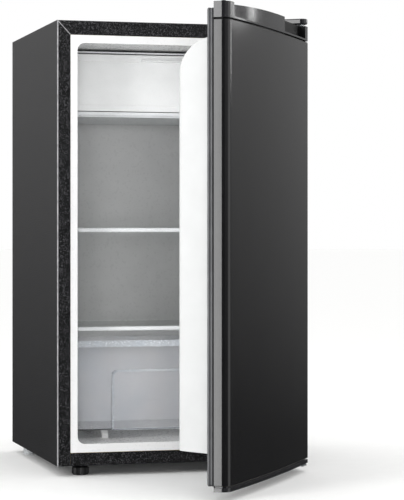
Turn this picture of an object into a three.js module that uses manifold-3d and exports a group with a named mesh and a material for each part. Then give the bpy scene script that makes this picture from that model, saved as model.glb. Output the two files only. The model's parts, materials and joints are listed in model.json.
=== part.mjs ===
import * as THREE from "three";
import { mergeVertices } from "three/addons/utils/BufferGeometryUtils.js";
import Module from "manifold-3d";

const wasm = await Module();
wasm.setup();

// Driving dimensions in millimetres. X = 0 is the cabinet's middle, Y = 0 its front plane
// and Z = 0 the floor. X runs to the right, Y to the back and Z up.
const cabinetWidth = 460;
const cabinetDepth = 455;
const cabinetHeight = 805;
const footHeight = 19;
const sheet = 1.2; // steel sheet
const gap = 0.3; // between pieces that touch
const flangeSide = 24.4; // front flange of a side panel
const flangeTop = 26;
const flangeBottom = 23.6;
const linerRimSide = 13; // white rim between the steel flange and the opening
const linerRimTop = 14.5;
const linerRimBottom = 15.5;
const linerWall = 1.6;
const linerCorner = 14;
const linerRearY = 398;
const stepY = 262; // front of the step over the machine room
const stepZ = 256; // top of that step
const machineRoomY = 312;
const machineRoomTop = 205;

const doorFront = 41.5; // door's front face at its sides, ahead of the cabinet
const doorBow = 6.2; // how much further the middle stands forward
const doorBack = -15; // back edge of the door's skin
const doorCorner = 10;
const doorHingeFront = 44.7; // the hinge side stands a little further forward
const doorHingeCorner = 6;
const doorBottomZ = 16;
const doorSkinBottom = 26;
const doorSkinTop = 790;
const doorTopZ = 820;
const hingeX = 222;
const hingeY = -33.5;
const hingePinRadius = 3.2;
const restOpening = 55.4; // degrees that the door stands open at rest
const dykeTipY = 64; // how far the inner door's side walls reach into the cabinet

const shelfFrontY = 75;
const shelfHalfWidth = 190.5;
const upperShelfZ = 441.6;
const lowerShelfZ = 258.8;
const glassThickness = 4;
const flapBottomZ = 668;
const flapTopZ = 774;
const flapY = 120;
const footX = 181;
const footY = 30;
const compressorX = -60;
const compressorY = 383;

const half = cabinetWidth / 2;
const bottomZ = footHeight;
const topZ = footHeight + cabinetHeight;
const innerHalf = half - sheet - gap; // what fits between the side panels
const rimHalf = half - flangeSide; // inner edge of the steel flanges
const rimBottomZ = bottomZ + flangeBottom;
const rimTopZ = topZ - flangeTop;
const openHalf = rimHalf - linerRimSide;
const floorZ = rimBottomZ + linerRimBottom;
const ceilingZ = rimTopZ - linerRimTop;

// Finishes: colour, roughness, metalness.
const paintedSteel = ["#2f2f30", 0.45, 0.3];
const doorPaint = ["#4a4a4b", 0.32, 0.4];
const capPlastic = ["#565657", 0.25, 0];
const blackPlastic = ["#141414", 0.5, 0];
const whitePlastic = ["#f2f2f0", 0.35, 0];
const greyPlastic = ["#b9bbbc", 0.5, 0];
const rubberBlack = ["#1b1b1b", 0.8, 0];
const gasketGrey = ["#5a5b5c", 0.7, 0];
const foamYellow = ["#d9c48a", 0.95, 0];
const zincSteel = ["#a7abad", 0.4, 0.9];
const aluminium = ["#c4c8ca", 0.35, 0.9];
const copper = ["#b87333", 0.35, 1];
const compressorBlack = ["#17181a", 0.5, 0.4];
const clearGlass = ["#dfeeee", 0.05, 0];
const clearPlastic = ["#eef2f4", 0.1, 0];
const transparent = [clearGlass, clearPlastic];

// A closed geometry as a solid that can be joined and cut. Its corners snap to a fine grid,
// so that faces meant to lie in one plane do.
const grid = 0.001;

function solid(geometry) {
  const bare = geometry.index ? geometry.toNonIndexed() : geometry.clone();
  bare.deleteAttribute("normal");
  bare.deleteAttribute("uv");
  const corners = bare.attributes.position.array;
  corners.forEach((value, i) => (corners[i] = Math.round(value / grid) * grid));
  const merged = mergeVertices(bare, 1e-4);
  return new wasm.Manifold(
    new wasm.Mesh({
      numProp: 3,
      vertProperties: merged.attributes.position.array,
      triVerts: new Uint32Array(merged.index.array),
    }),
  );
}

function box(x0, x1, y0, y1, z0, z1) {
  const geometry = new THREE.BoxGeometry(x1 - x0, y1 - y0, z1 - z0);
  geometry.translate((x0 + x1) / 2, (y0 + y1) / 2, (z0 + z1) / 2);
  return solid(geometry);
}

// A shape, or a list of corner points, swept straight along one axis.
function extrude(outline, from, to, basis, shift) {
  const shape = Array.isArray(outline)
    ? new THREE.Shape(outline.map(([a, b]) => new THREE.Vector2(a, b)))
    : outline;
  const options = { depth: to - from, bevelEnabled: false, curveSegments: 5 };
  const geometry = new THREE.ExtrudeGeometry(shape, options);
  geometry.applyMatrix4(new THREE.Matrix4().makeBasis(...basis));
  geometry.translate(...shift);
  return solid(geometry);
}

const alongX = new THREE.Vector3(1, 0, 0);
const alongY = new THREE.Vector3(0, 1, 0);
const alongZ = new THREE.Vector3(0, 0, 1);
const backwards = new THREE.Vector3(0, -1, 0);

// The outline is (Y, Z) for prismX, (X, Z) for prismY and (X, Y) for prismZ.
function prismX(outline, x0, x1) {
  return extrude(outline, x0, x1, [alongY, alongZ, alongX], [x0, 0, 0]);
}

function prismY(outline, y0, y1) {
  return extrude(outline, y0, y1, [alongX, alongZ, backwards], [0, y1, 0]);
}

function prismZ(outline, z0, z1) {
  return extrude(outline, z0, z1, [alongX, alongY, alongZ], [0, 0, z0]);
}

function roundedRectangle(a0, a1, b0, b1, r) {
  const shape = new THREE.Shape();
  shape.absarc(a1 - r, b0 + r, r, -Math.PI / 2, 0, false);
  shape.absarc(a1 - r, b1 - r, r, 0, Math.PI / 2, false);
  shape.absarc(a0 + r, b1 - r, r, Math.PI / 2, Math.PI, false);
  shape.absarc(a0 + r, b0 + r, r, Math.PI, 1.5 * Math.PI, false);
  shape.closePath();
  return shape;
}

// A turned piece on a vertical axis; the profile is (radius, Z) from the bottom up.
function turned(profile, x, y, sides = 24) {
  const points = profile.map(([r, z]) => new THREE.Vector2(r, z));
  const geometry = new THREE.LatheGeometry(points, sides);
  geometry.rotateX(Math.PI / 2);
  geometry.translate(x, y, 0);
  return solid(geometry);
}

function rod(radius, x, y, z0, z1, sides = 24) {
  return turned([[0, z0], [radius, z0], [radius, z1], [0, z1]], x, y, sides);
}

// A round rod or hole along X or Y, from one coordinate to another.
function rodX(radius, x0, x1, y, z, sides = 16) {
  const geometry = new THREE.CylinderGeometry(radius, radius, x1 - x0, sides);
  geometry.rotateZ(Math.PI / 2);
  geometry.translate((x0 + x1) / 2, y, z);
  return solid(geometry);
}

function rodY(radius, y0, y1, x, z, sides = 16) {
  const geometry = new THREE.CylinderGeometry(radius, radius, y1 - y0, sides);
  geometry.translate(x, (y0 + y1) / 2, z);
  return solid(geometry);
}

// A bent tube through its points, solid, with eight sides.
function tube(points, radius, steps) {
  const curve = new THREE.CatmullRomCurve3(points.map((p) => new THREE.Vector3(...p)));
  const section = new THREE.Shape();
  section.absarc(0, 0, radius, 0, 2 * Math.PI, false);
  const options = { extrudePath: curve, steps, curveSegments: 4, bevelEnabled: false };
  return solid(new THREE.ExtrudeGeometry(section, options));
}

function joined(...solids) {
  return solids.reduce((a, b) => a.add(b));
}

function cut(base, ...tools) {
  return tools.reduce((a, b) => a.subtract(b), base);
}

const fridge = new THREE.Group();

function place(name, body, finish, parent = fridge) {
  const made = body.getMesh();
  const geometry = new THREE.BufferGeometry();
  geometry.setAttribute("position", new THREE.BufferAttribute(made.vertProperties, 3));
  geometry.setIndex(new THREE.BufferAttribute(made.triVerts, 1));
  geometry.computeVertexNormals();
  const [color, roughness, metalness] = finish;
  const material = new THREE.MeshStandardMaterial({ color, roughness, metalness });
  material.transparent = transparent.includes(finish);
  material.opacity = material.transparent ? 0.35 : 1;
  const mesh = new THREE.Mesh(geometry, material);
  mesh.name = name;
  parent.add(mesh);
}

// Steel wrapper: two side panels and a top panel whose front flanges meet in mitres.
const mitreGap = 0.5;
const rearFlange = 14;
const mitreSlope = flangeTop / flangeSide;
const past = 5; // how far a cutting tool reaches past what it cuts

// A wedge with one face along the mitre of a front flange, above it or below it.
function mitreTool(side, shift, farZ) {
  const inner = rimHalf - shift - past;
  const outer = half - shift + past;
  const wedge = [
    [side * inner, rimTopZ - past * mitreSlope],
    [side * outer, topZ + past * mitreSlope],
    farZ > rimTopZ ? [side * inner, farZ] : [side * outer, farZ],
  ];
  return prismY(wedge, -past, sheet + gap);
}

function sidePanel(side) {
  const profile = [
    [side * half, 0],
    [side * half, cabinetDepth],
    [side * (half - rearFlange), cabinetDepth],
    [side * (half - rearFlange), cabinetDepth - sheet],
    [side * (half - sheet), cabinetDepth - sheet],
    [side * (half - sheet), sheet],
    [side * rimHalf, sheet],
    [side * rimHalf, 0],
  ];
  return cut(
    prismZ(profile, bottomZ, topZ),
    mitreTool(side, 0, topZ + 2 * past),
    box(-innerHalf, innerHalf, cabinetDepth - 2 * sheet, cabinetDepth + past,
      topZ - sheet - gap, topZ + past),
  );
}

place("side_panel_left", sidePanel(-1), paintedSteel);
place("side_panel_right", sidePanel(1), paintedSteel);

const topProfile = [
  [0, rimTopZ], [0, topZ], [cabinetDepth, topZ], [cabinetDepth, topZ - sheet],
  [sheet, topZ - sheet], [sheet, rimTopZ],
];
const topPanel = cut(
  prismX(topProfile, -innerHalf, innerHalf),
  mitreTool(-1, mitreGap, rimTopZ - 2 * past),
  mitreTool(1, mitreGap, rimTopZ - 2 * past),
);
place("top_panel", topPanel, paintedSteel);

const footHoleRadius = 4.6;
const railDepth = 70;
const railHalf = rimHalf - gap;
const bottomRail = cut(
  joined(
    box(-railHalf, railHalf, 0, sheet, bottomZ, rimBottomZ - gap),
    box(-railHalf, railHalf, 0, railDepth, bottomZ, bottomZ + sheet),
    box(-innerHalf, innerHalf, sheet + gap, railDepth, bottomZ, bottomZ + sheet),
  ),
  rod(footHoleRadius, -footX, footY, bottomZ - 1, bottomZ + 3),
  rod(footHoleRadius, footX, footY, bottomZ - 1, bottomZ + 3),
);
place("bottom_front_rail", bottomRail, paintedSteel);
const basePanel = box(
  -innerHalf, innerHalf, railDepth + gap, machineRoomY - gap, bottomZ, bottomZ + sheet,
);
place("base_panel", basePanel, zincSteel);
const rearPanelY = cabinetDepth - sheet - gap;
const rearPanel = box(
  -innerHalf, innerHalf, rearPanelY - sheet, rearPanelY, machineRoomTop + gap, topZ - sheet - gap,
);
place("rear_panel", rearPanel, paintedSteel);

// Machine room: a step of sheet metal over an open base plate at the lower rear.
const drainX = 40;
const drainY = 388;
const drainHoleRadius = 6.6;
const basePlate = 2.4;
const baseLip = 30;
const glandX = 150;
const glandZ = bottomZ + 17;
const machineRoomPanel = cut(
  joined(
    box(-innerHalf, innerHalf, machineRoomY, machineRoomY + sheet,
      bottomZ + basePlate + gap, machineRoomTop),
    box(-innerHalf, innerHalf, machineRoomY, rearPanelY - sheet - gap,
      machineRoomTop - sheet, machineRoomTop),
  ),
  rod(drainHoleRadius, drainX, drainY, machineRoomTop - 5, machineRoomTop + 5, 16),
);
place("machine_room_panel", machineRoomPanel, zincSteel);
const compressorBase = cut(
  joined(
    box(-innerHalf, innerHalf, machineRoomY, rearPanelY, bottomZ, bottomZ + basePlate),
    box(-innerHalf, innerHalf, rearPanelY - basePlate, rearPanelY, bottomZ, bottomZ + baseLip),
  ),
  rodY(7.5, rearPanelY - 5, rearPanelY + 5, glandX, glandZ),
);
place("compressor_base", compressorBase, zincSteel);

// The compartment with its step over the machine room, made larger by grow all round.
function compartment(grow, frontY) {
  const side = [
    [frontY, floorZ - grow],
    [stepY + grow, floorZ - grow],
    [stepY + grow, stepZ - grow],
    [linerRearY + grow, stepZ - grow],
    [linerRearY + grow, ceilingZ + grow],
    [frontY, ceilingZ + grow],
  ];
  const wide = openHalf + grow;
  const front = roundedRectangle(
    -wide, wide, floorZ - grow, ceilingZ + grow, linerCorner + grow,
  );
  return prismX(side, -wide, wide).intersect(prismY(front, frontY, linerRearY + grow));
}

const foamFrontY = 2.2;
const foamClear = 0.4;
const footPocketRadius = 6.5;
const foam = cut(
  box(-innerHalf, innerHalf, foamFrontY, rearPanelY - sheet - gap,
    bottomZ + sheet + gap, topZ - sheet - gap),
  compartment(linerWall + foamClear, foamFrontY - 1),
  box(-half, half, machineRoomY - gap, cabinetDepth, 0, machineRoomTop + gap),
  rod(footPocketRadius, -footX, footY, 0, bottomZ + 32, 12),
  rod(footPocketRadius, footX, footY, 0, bottomZ + 32, 12),
  rod(drainHoleRadius, drainX, drainY, machineRoomTop - 5, stepZ, 16),
);
place("insulation_foam", foam, foamYellow);

// White inner liner: rim, walls, shelf ribs, crisper runners and drain hole.
const ribDepth = 7.5;
const ribHeight = 4;
const trayRibTop = 656.7;
const ribTops = [trayRibTop, 548, upperShelfZ - gap, 350, lowerShelfZ - gap];
const runnerX = 120;
const runnerFrontY = 96;
const crisperBottomZ = 73;
let liner = cut(
  joined(
    box(-rimHalf + gap, rimHalf - gap, 0.2, 0.2 + linerWall, rimBottomZ + gap, rimTopZ - gap),
    compartment(linerWall, 0.2),
  ),
  compartment(0, -1),
  rod(4, drainX, drainY, stepZ - 5, stepZ + 5, 16),
);
for (const side of [-1, 1]) {
  const wall = side * (openHalf + linerWall / 2);
  const ribEdge = side * (openHalf - ribDepth);
  const [x0, x1] = [Math.min(wall, ribEdge), Math.max(wall, ribEdge)];
  for (const top of ribTops) liner = liner.add(box(x0, x1, 40, 390, top - ribHeight, top));
  liner = liner.add(
    box(side * runnerX - 6, side * runnerX + 6, runnerFrontY, 255, floorZ - 1, crisperBottomZ - gap),
  );
}
place("inner_liner", liner, whitePlastic);

// Freezer compartment: evaporator box, drop-down flap on two side brackets, drip tray.
const evaporatorHalf = 184;
const evaporatorFrontY = 130;
const evaporatorRearY = 392;
const evaporatorBottomZ = 672;
const evaporatorTopZ = 776;
const evaporatorWall = 2;
const evaporatorBox = cut(
  box(-evaporatorHalf, evaporatorHalf, evaporatorFrontY, evaporatorRearY,
    evaporatorBottomZ, evaporatorTopZ),
  box(-evaporatorHalf + evaporatorWall, evaporatorHalf - evaporatorWall,
    evaporatorFrontY - 5, evaporatorRearY - evaporatorWall,
    evaporatorBottomZ + evaporatorWall, evaporatorTopZ - evaporatorWall),
);
place("evaporator_box", evaporatorBox, aluminium);

const flapHalf = 185.5;
const flapThickness = 4.5;
const flapPinY = flapY + 2.2;
const flapPinZ = flapBottomZ + 3;
const flapPinRadius = 2.4;
const flapBracketX = flapHalf + 1.5;
const flapHandleHalf = 45;
const flapPlate = roundedRectangle(-flapHalf, flapHalf, flapBottomZ, flapTopZ, 4);
const flap = joined(
  prismY(flapPlate, flapY, flapY + flapThickness),
  box(-flapHandleHalf, flapHandleHalf, flapY - 9, flapY + 1, flapTopZ - 12, flapTopZ - 9),
  rodX(flapPinRadius, -flapBracketX - 4, flapBracketX + 4, flapPinY, flapPinZ, 12),
);
place("freezer_flap", flap, whitePlastic);
for (const [name, side] of [["left", -1], ["right", 1]]) {
  const [a, b] = [side * flapBracketX, side * (openHalf - gap)];
  const bracket = cut(
    box(Math.min(a, b), Math.max(a, b), 114, 129, 664, 680),
    rodX(flapPinRadius + 0.4, -openHalf, openHalf, flapPinY, flapPinZ, 12),
  );
  place("flap_bracket_" + name, bracket, whitePlastic);
}

const trayZ = trayRibTop + gap;
const trayTopZ = 664;
const trayLipTopZ = 666.5;
const dripTray = cut(
  joined(
    box(-190, 190, 124, 386, trayZ, trayTopZ),
    box(-186, 186, flapY - 2, 126, trayZ + 3, trayLipTopZ),
  ),
  box(-181, 181, 128, 384, trayZ + 1.6, trayTopZ + 5),
);
place("drip_tray", dripTray, whitePlastic);

// Thermostat on the right wall.
const dialY = 195;
const dialZ = 600;
const dialFaceX = 172;
const housing = roundedRectangle(dialY - 46, dialY + 46, dialZ - 26, dialZ + 26, 8);
place("thermostat_housing", prismX(housing, dialFaceX, openHalf - gap), whitePlastic);
const knob = joined(
  rodX(18, dialFaceX - 7, dialFaceX - gap, dialY, dialZ, 24),
  box(dialFaceX - 15, dialFaceX - 6, dialY - 3, dialY + 3, dialZ - 16, dialZ + 16),
);
place("thermostat_knob", knob, greyPlastic);

// Two glass shelves, each under the lip of a front trim.
const trimDepth = 15;
const trimWall = 4;
const trimHeight = 7.4;
const shelfRearY = 385;
for (const [name, z] of [["upper_shelf", upperShelfZ], ["lower_shelf", lowerShelfZ]]) {
  const glassTop = z + glassThickness;
  const trim = cut(
    box(-shelfHalfWidth, shelfHalfWidth, shelfFrontY, shelfFrontY + trimDepth, z, z + trimHeight),
    box(-half, half, shelfFrontY + trimWall, shelfFrontY + 50, z - 1, glassTop + gap),
  );
  place(name + "_trim", trim, whitePlastic);
  const glassFront = shelfFrontY + trimWall + gap;
  const glass = box(-shelfHalfWidth, shelfHalfWidth, glassFront, shelfRearY, z, glassTop);
  place(name + "_glass", glass, clearGlass);
}

// Clear crisper drawer with a raised panel on its front.
const crisperHalf = 184;
const crisperFrontY = 95;
const crisperRearY = 253;
const crisperTopZ = 239.4;
const crisperWall = 2.2;
const panelHalf = 109;
const panelY = 83;
const panelTopZ = 185;

function crisperBody(inset, extraTop) {
  const bottom = crisperBottomZ + inset;
  const panel = roundedRectangle(
    -panelHalf + inset, panelHalf - inset, bottom, panelTopZ - inset, 10 - inset,
  );
  return joined(
    box(-crisperHalf + inset, crisperHalf - inset, crisperFrontY + inset, crisperRearY - inset,
      bottom, crisperTopZ + extraTop),
    prismY(panel, panelY + inset, crisperFrontY + 5),
  );
}

const crisperRim = box(
  -crisperHalf - 3, crisperHalf + 3, crisperFrontY - 3, crisperRearY + 3,
  crisperTopZ - 12, crisperTopZ,
);
const crisper = cut(crisperBody(0, 0).add(crisperRim), crisperBody(crisperWall, 5));
place("crisper_drawer", crisper, clearPlastic);

// Feet: screw feet at the front, plain pads at the rear.
const footProfile = [
  [0, 0], [13.5, 0], [15.5, 2], [15.5, 13], [13.5, 15.5], [4, 16.5], [4, 46], [0, 46],
];
const rearFootProfile = [[0, 0], [11, 0], [12, 2], [10, bottomZ - gap], [0, bottomZ - gap]];
for (const [name, side] of [["left", -1], ["right", 1]]) {
  place("front_foot_" + name, turned(footProfile, side * footX, footY), blackPlastic);
  place("rear_foot_" + name, turned(rearFootProfile, side * 207, 392, 20), greyPlastic);
}

// Compressor on its mount plate and four rubber grommets, with its pipework.
const mountPlateZ = 29;
const mountX = 60;
const mountY = 34;
const shellProfile = [
  [0, 32.3], [48, 32.3], [59, 42], [59, 88], [61.5, 90], [61.5, 97], [59, 99], [59, 136],
  [53, 150], [38, 160], [22, 163], [0, 163],
];
place("compressor_shell", turned(shellProfile, compressorX, compressorY), compressorBlack);
const mountPlate = roundedRectangle(
  compressorX - 74, compressorX + 74, compressorY - 46, compressorY + 46, 12,
);
place("compressor_mount_plate", prismZ(mountPlate, mountPlateZ, mountPlateZ + 3), zincSteel);
const grommetBottom = bottomZ + basePlate + gap;
const grommetProfile = [
  [0, grommetBottom], [10, grommetBottom], [7.5, 25], [9, mountPlateZ - gap],
  [0, mountPlateZ - gap],
];
const grommetPlaces = [[-1, -1], [1, -1], [-1, 1], [1, 1]];
grommetPlaces.forEach(([sx, sy], i) => {
  const grommet = turned(
    grommetProfile, compressorX + sx * mountX, compressorY + sy * mountY, 16,
  );
  place("compressor_grommet_" + (i + 1), grommet, rubberBlack);
});
const relayShape = roundedRectangle(compressorY - 20, compressorY + 22, 60, 112, 5);
place("relay_cover", prismX(relayShape, compressorX + 62, compressorX + 90), blackPlastic);
const ceilingUnder = machineRoomTop - sheet - gap;
const discharge = [
  [compressorX - 59.6, compressorY, 118],
  [compressorX - 70, compressorY, 119],
  [compressorX - 78, compressorY - 4, 130],
  [compressorX - 78, compressorY - 8, 160],
  [compressorX - 78, compressorY - 8, ceilingUnder],
];
place("discharge_tube", tube(discharge, 2.5, 20), copper);
const suction = [
  [compressorX - 43, compressorY + 43, 112],
  [compressorX - 49, compressorY + 49, 113],
  [compressorX - 56, compressorY + 52, 125],
  [compressorX - 58, compressorY + 52, 160],
  [compressorX - 58, compressorY + 52, ceilingUnder],
];
place("suction_tube", tube(suction, 4, 20), copper);
const drierX = 105;
const drierY = 425;
const drierProfile = [
  [0, 58], [3, 58], [9.5, 68], [9.5, 148], [3, 158], [3, ceilingUnder], [0, ceilingUnder],
];
place("filter_drier", turned(drierProfile, drierX, drierY, 16), copper);
const capillary = [
  [drierX, drierY, 57.6],
  [drierX, drierY, 52],
  [drierX + 8, drierY, 44],
  [drierX + 22, drierY, 44],
  [drierX + 32, drierY, 54],
  [drierX + 32, drierY, 120],
  [drierX + 32, drierY, ceilingUnder],
];
place("capillary_tube", tube(capillary, 1.5, 30), copper);

const panZ = 163.4;
const pan = cut(
  prismZ(roundedRectangle(-110, 72, 326, 442, 10), panZ, panZ + 20),
  prismZ(roundedRectangle(-108, 70, 328, 440, 8), panZ + 2, panZ + 25),
);
place("evaporation_tray", pan, blackPlastic);
const hoseBottom = panZ + 14;
const hoseTop = stepZ - linerWall - gap;
const drainHose = turned(
  [[4, hoseBottom], [6, hoseBottom], [6, hoseTop], [4, hoseTop], [4, hoseBottom]],
  drainX, drainY, 16,
);
place("drain_hose", drainHose, greyPlastic);
const gland = joined(
  rodY(7.1, rearPanelY - 8, rearPanelY + 4, glandX, glandZ),
  rodY(10, rearPanelY + gap, rearPanelY + 4, glandX, glandZ),
  rodY(9, rearPanelY - 8, rearPanelY - basePlate - gap, glandX, glandZ),
);
place("cord_gland", gland, blackPlastic);

// Hinges: steel brackets on the cabinet with vertical pins on the door's axis.
const bracketSheet = 3;
const bracketZ = topZ + gap;
const coverTopZ = topZ + 10.5;

// Plan outline of the upper bracket: a plate on the cabinet with an arm to the axis.
function bracketOutline(grow) {
  const r = 8.5 + grow;
  const shape = new THREE.Shape();
  shape.moveTo(156 - grow, 46 + grow);
  shape.lineTo(156 - grow, 6 - grow);
  shape.lineTo(hingeX - r * 0.75, hingeY - r * 0.66);
  shape.absarc(hingeX, hingeY, r, -0.77 * Math.PI, 0, false);
  shape.lineTo(hingeX + r, 6);
  shape.lineTo(226 + grow, 46 + grow);
  shape.closePath();
  return shape;
}

const upperBracket = cut(
  prismZ(bracketOutline(0), bracketZ, bracketZ + bracketSheet),
  rod(hingePinRadius + 0.4, hingeX, hingeY, bracketZ - 1, bracketZ + 5),
);
place("upper_hinge_bracket", upperBracket, zincSteel);
const pinHeadZ = bracketZ + bracketSheet + gap;
const upperPinProfile = [
  [0, doorTopZ - 14], [hingePinRadius, doorTopZ - 14], [hingePinRadius, pinHeadZ],
  [5.5, pinHeadZ], [5.5, pinHeadZ + 1.8], [0, pinHeadZ + 1.8],
];
place("upper_hinge_pin", turned(upperPinProfile, hingeX, hingeY), zincSteel);
const hingeCover = cut(
  prismZ(bracketOutline(2.5), bracketZ, coverTopZ),
  prismZ(bracketOutline(0.5), bracketZ - 1, pinHeadZ + 2.4),
);
place("hinge_cover", hingeCover, capPlastic);

const lowerPlateTop = bottomZ - gap;
const lowerArmTop = doorBottomZ - 1.7;
const joggle = [
  [56, lowerPlateTop], [6, lowerPlateTop], [-1, lowerArmTop], [hingeY - 9, lowerArmTop],
  [hingeY - 9, lowerArmTop - bracketSheet], [0, lowerArmTop - bracketSheet],
  [7, lowerPlateTop - bracketSheet], [56, lowerPlateTop - bracketSheet],
];
const lowerBracket = cut(
  prismX(joggle, hingeX - 16, half - 1),
  rod(hingePinRadius + 0.4, hingeX, hingeY, 0, bottomZ),
);
place("lower_hinge_bracket", lowerBracket, zincSteel);
const lowerHeadTop = lowerArmTop - bracketSheet - gap;
const lowerPinProfile = [
  [0, lowerHeadTop - 2], [5.5, lowerHeadTop - 2], [5.5, lowerHeadTop],
  [hingePinRadius, lowerHeadTop], [hingePinRadius, doorBottomZ + 7], [0, doorBottomZ + 7],
];
place("lower_hinge_pin", turned(lowerPinProfile, hingeX, hingeY), zincSteel);

// The door is built closed, in a group that turns about the hinge axis.
const doorPivot = new THREE.Group();
doorPivot.position.set(hingeX, hingeY, 0);
doorPivot.rotation.z = THREE.MathUtils.degToRad(restOpening);
const door = new THREE.Group();
door.position.set(-hingeX, -hingeY, 0);
doorPivot.add(door);
fridge.add(doorPivot);

// Plan outline of the door: bowed front, rounded front corners, straight sides.
function doorOutline(inset, backY) {
  const side = half - inset;
  const r = doorCorner - Math.min(inset, doorCorner - 1);
  const hingeR = doorHingeCorner - Math.min(inset, doorHingeCorner - 1);
  const front = -(doorFront - inset);
  const hingeFront = -(doorHingeFront - inset);
  const shape = new THREE.Shape();
  shape.moveTo(side, backY);
  shape.lineTo(-side, backY);
  shape.lineTo(-side, front + r);
  shape.absarc(-side + r, front + r, r, Math.PI, 1.5 * Math.PI, false);
  shape.quadraticCurveTo(0, (front + hingeFront) / 2 - 2 * doorBow, side - hingeR, hingeFront);
  shape.absarc(side - hingeR, hingeFront + hingeR, hingeR, -Math.PI / 2, 0, false);
  shape.closePath();
  return shape;
}

const skin = cut(
  prismZ(doorOutline(0, doorBack), doorSkinBottom, doorSkinTop),
  prismZ(doorOutline(sheet, doorBack + 5), doorSkinBottom - 1, doorSkinTop + 1),
);
place("door_outer_panel", skin, doorPaint, door);

// A hollow side wall of the inner door, with its large curved top.
const dykeFootZ = 72;
const dykeTopZ = 766.6;
const dykeCurve = 66;

function dyke(side, inset, backY) {
  const tip = dykeTipY - inset;
  const plan = [
    [side * (189 - inset), backY],
    [side * (179 - inset), tip - 4],
    [side * (175 - inset), tip],
    [side * (164 + inset), tip],
    [side * (160 + inset), tip - 4],
    [side * (150 + inset), backY],
  ];
  const profile = new THREE.Shape();
  const curveRadius = dykeCurve - inset;
  profile.moveTo(backY, dykeFootZ + inset);
  profile.lineTo(tip, dykeFootZ + 4 + inset);
  profile.lineTo(tip, dykeTopZ - dykeCurve);
  profile.absarc(
    tip - curveRadius, dykeTopZ - dykeCurve, curveRadius, 0, Math.PI / 2, false,
  );
  profile.lineTo(backY, dykeTopZ - inset);
  profile.closePath();
  return prismZ(plan, 0, topZ).intersect(prismX(profile, -half, half));
}

const linerFrontY = doorBack + gap;
const linerBackY = linerFrontY + 1.5;
const foamCoreInset = linerWall + 0.4;
const doorFoam = joined(
  prismZ(doorOutline(sheet + gap, doorBack - gap), doorSkinBottom + gap, doorSkinTop - gap),
  dyke(-1, foamCoreInset, doorBack - 5),
  dyke(1, foamCoreInset, doorBack - 5),
);
place("door_foam", doorFoam, foamYellow, door);
const doorLiner = cut(
  joined(
    box(-226, 226, linerFrontY, linerBackY, 22, 812),
    dyke(-1, 0, linerFrontY + 0.5),
    dyke(1, 0, linerFrontY + 0.5),
  ),
  dyke(-1, linerWall, doorBack - 1),
  dyke(1, linerWall, doorBack - 1),
);
place("door_liner", doorLiner, whitePlastic, door);
const gasketFrontY = linerBackY + gap;
const gasketBackY = -1;
const gasket = cut(
  prismY(roundedRectangle(-222, 222, 23, 811, 4), gasketFrontY, gasketBackY),
  prismY(roundedRectangle(-205, 205, 40, 794, 3), gasketFrontY - 1, gasketBackY + 1),
);
place("door_gasket", gasket, gasketGrey, door);

// Top cap: thin lip, blocks at both ends, a recess between them and the curved grip.
const lipTopZ = doorSkinTop + 6.5;
const blockEndX = -204;
const postStartX = 206;
const gripEndX = 73;
const recessDepth = 12;
const gripThickness = 9;
const channelFloorZ = 806;
const bushRadius = 4.8;

// Plan and elevation of the grip, a wall that swings forward from the block.
function gripWall() {
  const plan = new THREE.Shape();
  plan.moveTo(blockEndX - 1, -33);
  plan.quadraticCurveTo(-90, -49.5, gripEndX, -46);
  plan.lineTo(gripEndX, -46 + gripThickness);
  plan.quadraticCurveTo(-90, -49.5 + gripThickness, blockEndX - 1, -33 + gripThickness);
  plan.closePath();
  const elevation = new THREE.Shape();
  elevation.moveTo(blockEndX - 1, doorSkinTop + 2);
  elevation.lineTo(gripEndX, doorSkinTop + 2);
  elevation.lineTo(gripEndX, doorTopZ + 3.5);
  elevation.quadraticCurveTo(-80, doorTopZ + 4, blockEndX - 1, doorTopZ - 3);
  elevation.closePath();
  return prismZ(plan, doorSkinTop, topZ).intersect(prismY(elevation, -60, 0));
}

const recess = cut(
  box(blockEndX, postStartX, -60, doorBack - 2, lipTopZ, doorTopZ + 1),
  prismZ(doorOutline(recessDepth, doorBack + 1), lipTopZ - 1, doorTopZ + 2),
);
const topCap = cut(
  joined(
    cut(
      prismZ(doorOutline(0, doorBack), doorSkinTop + gap, doorTopZ),
      recess,
      box(blockEndX + 4, gripEndX - 4, -38, doorBack - 5, channelFloorZ, doorTopZ + 1),
    ),
    gripWall().intersect(box(-half, half, -60, 0, doorSkinTop + gap, topZ)),
  ),
  rod(bushRadius + 0.2, hingeX, hingeY, doorTopZ - 15, doorTopZ + 1),
);
place("door_top_cap", topCap, capPlastic, door);
const bottomCap = cut(
  prismZ(doorOutline(0, doorBack), doorBottomZ, doorSkinBottom - gap),
  rod(bushRadius + 0.2, hingeX, hingeY, doorBottomZ - 1, doorBottomZ + 8),
);
place("door_bottom_cap", bottomCap, capPlastic, door);
const plugZ = doorTopZ + gap;
const plugProfile = [[0, plugZ], [5, plugZ], [4, plugZ + 1.8], [2, plugZ + 2.7], [0, plugZ + 2.7]];
place("free_end_plug", turned(plugProfile, -217, -28, 16), blackPlastic, door);

function bush(z0, z1) {
  const bore = hingePinRadius + 0.1;
  return turned(
    [[bore, z0], [bushRadius, z0], [bushRadius, z1], [bore, z1], [bore, z0]],
    hingeX, hingeY,
  );
}

place("upper_hinge_bush", bush(doorTopZ - 14.5, doorTopZ - 0.2), whitePlastic, door);
place("lower_hinge_bush", bush(doorBottomZ + 0.2, doorBottomZ + 7.5), whitePlastic, door);

// Open bins between the inner door's side walls, and the bar over the bottle rack.
const rackHalf = 147;
const rackWall = 2;
const rackBackY = linerBackY + gap;

function rack(frontY, z0, z1) {
  return cut(
    prismZ(roundedRectangle(-rackHalf, rackHalf, rackBackY, frontY, 8), z0, z1),
    prismZ(
      roundedRectangle(-rackHalf + rackWall, rackHalf - rackWall,
        rackBackY + rackWall, frontY - rackWall, 6),
      z0 + rackWall, z1 + 1,
    ),
  );
}

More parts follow.
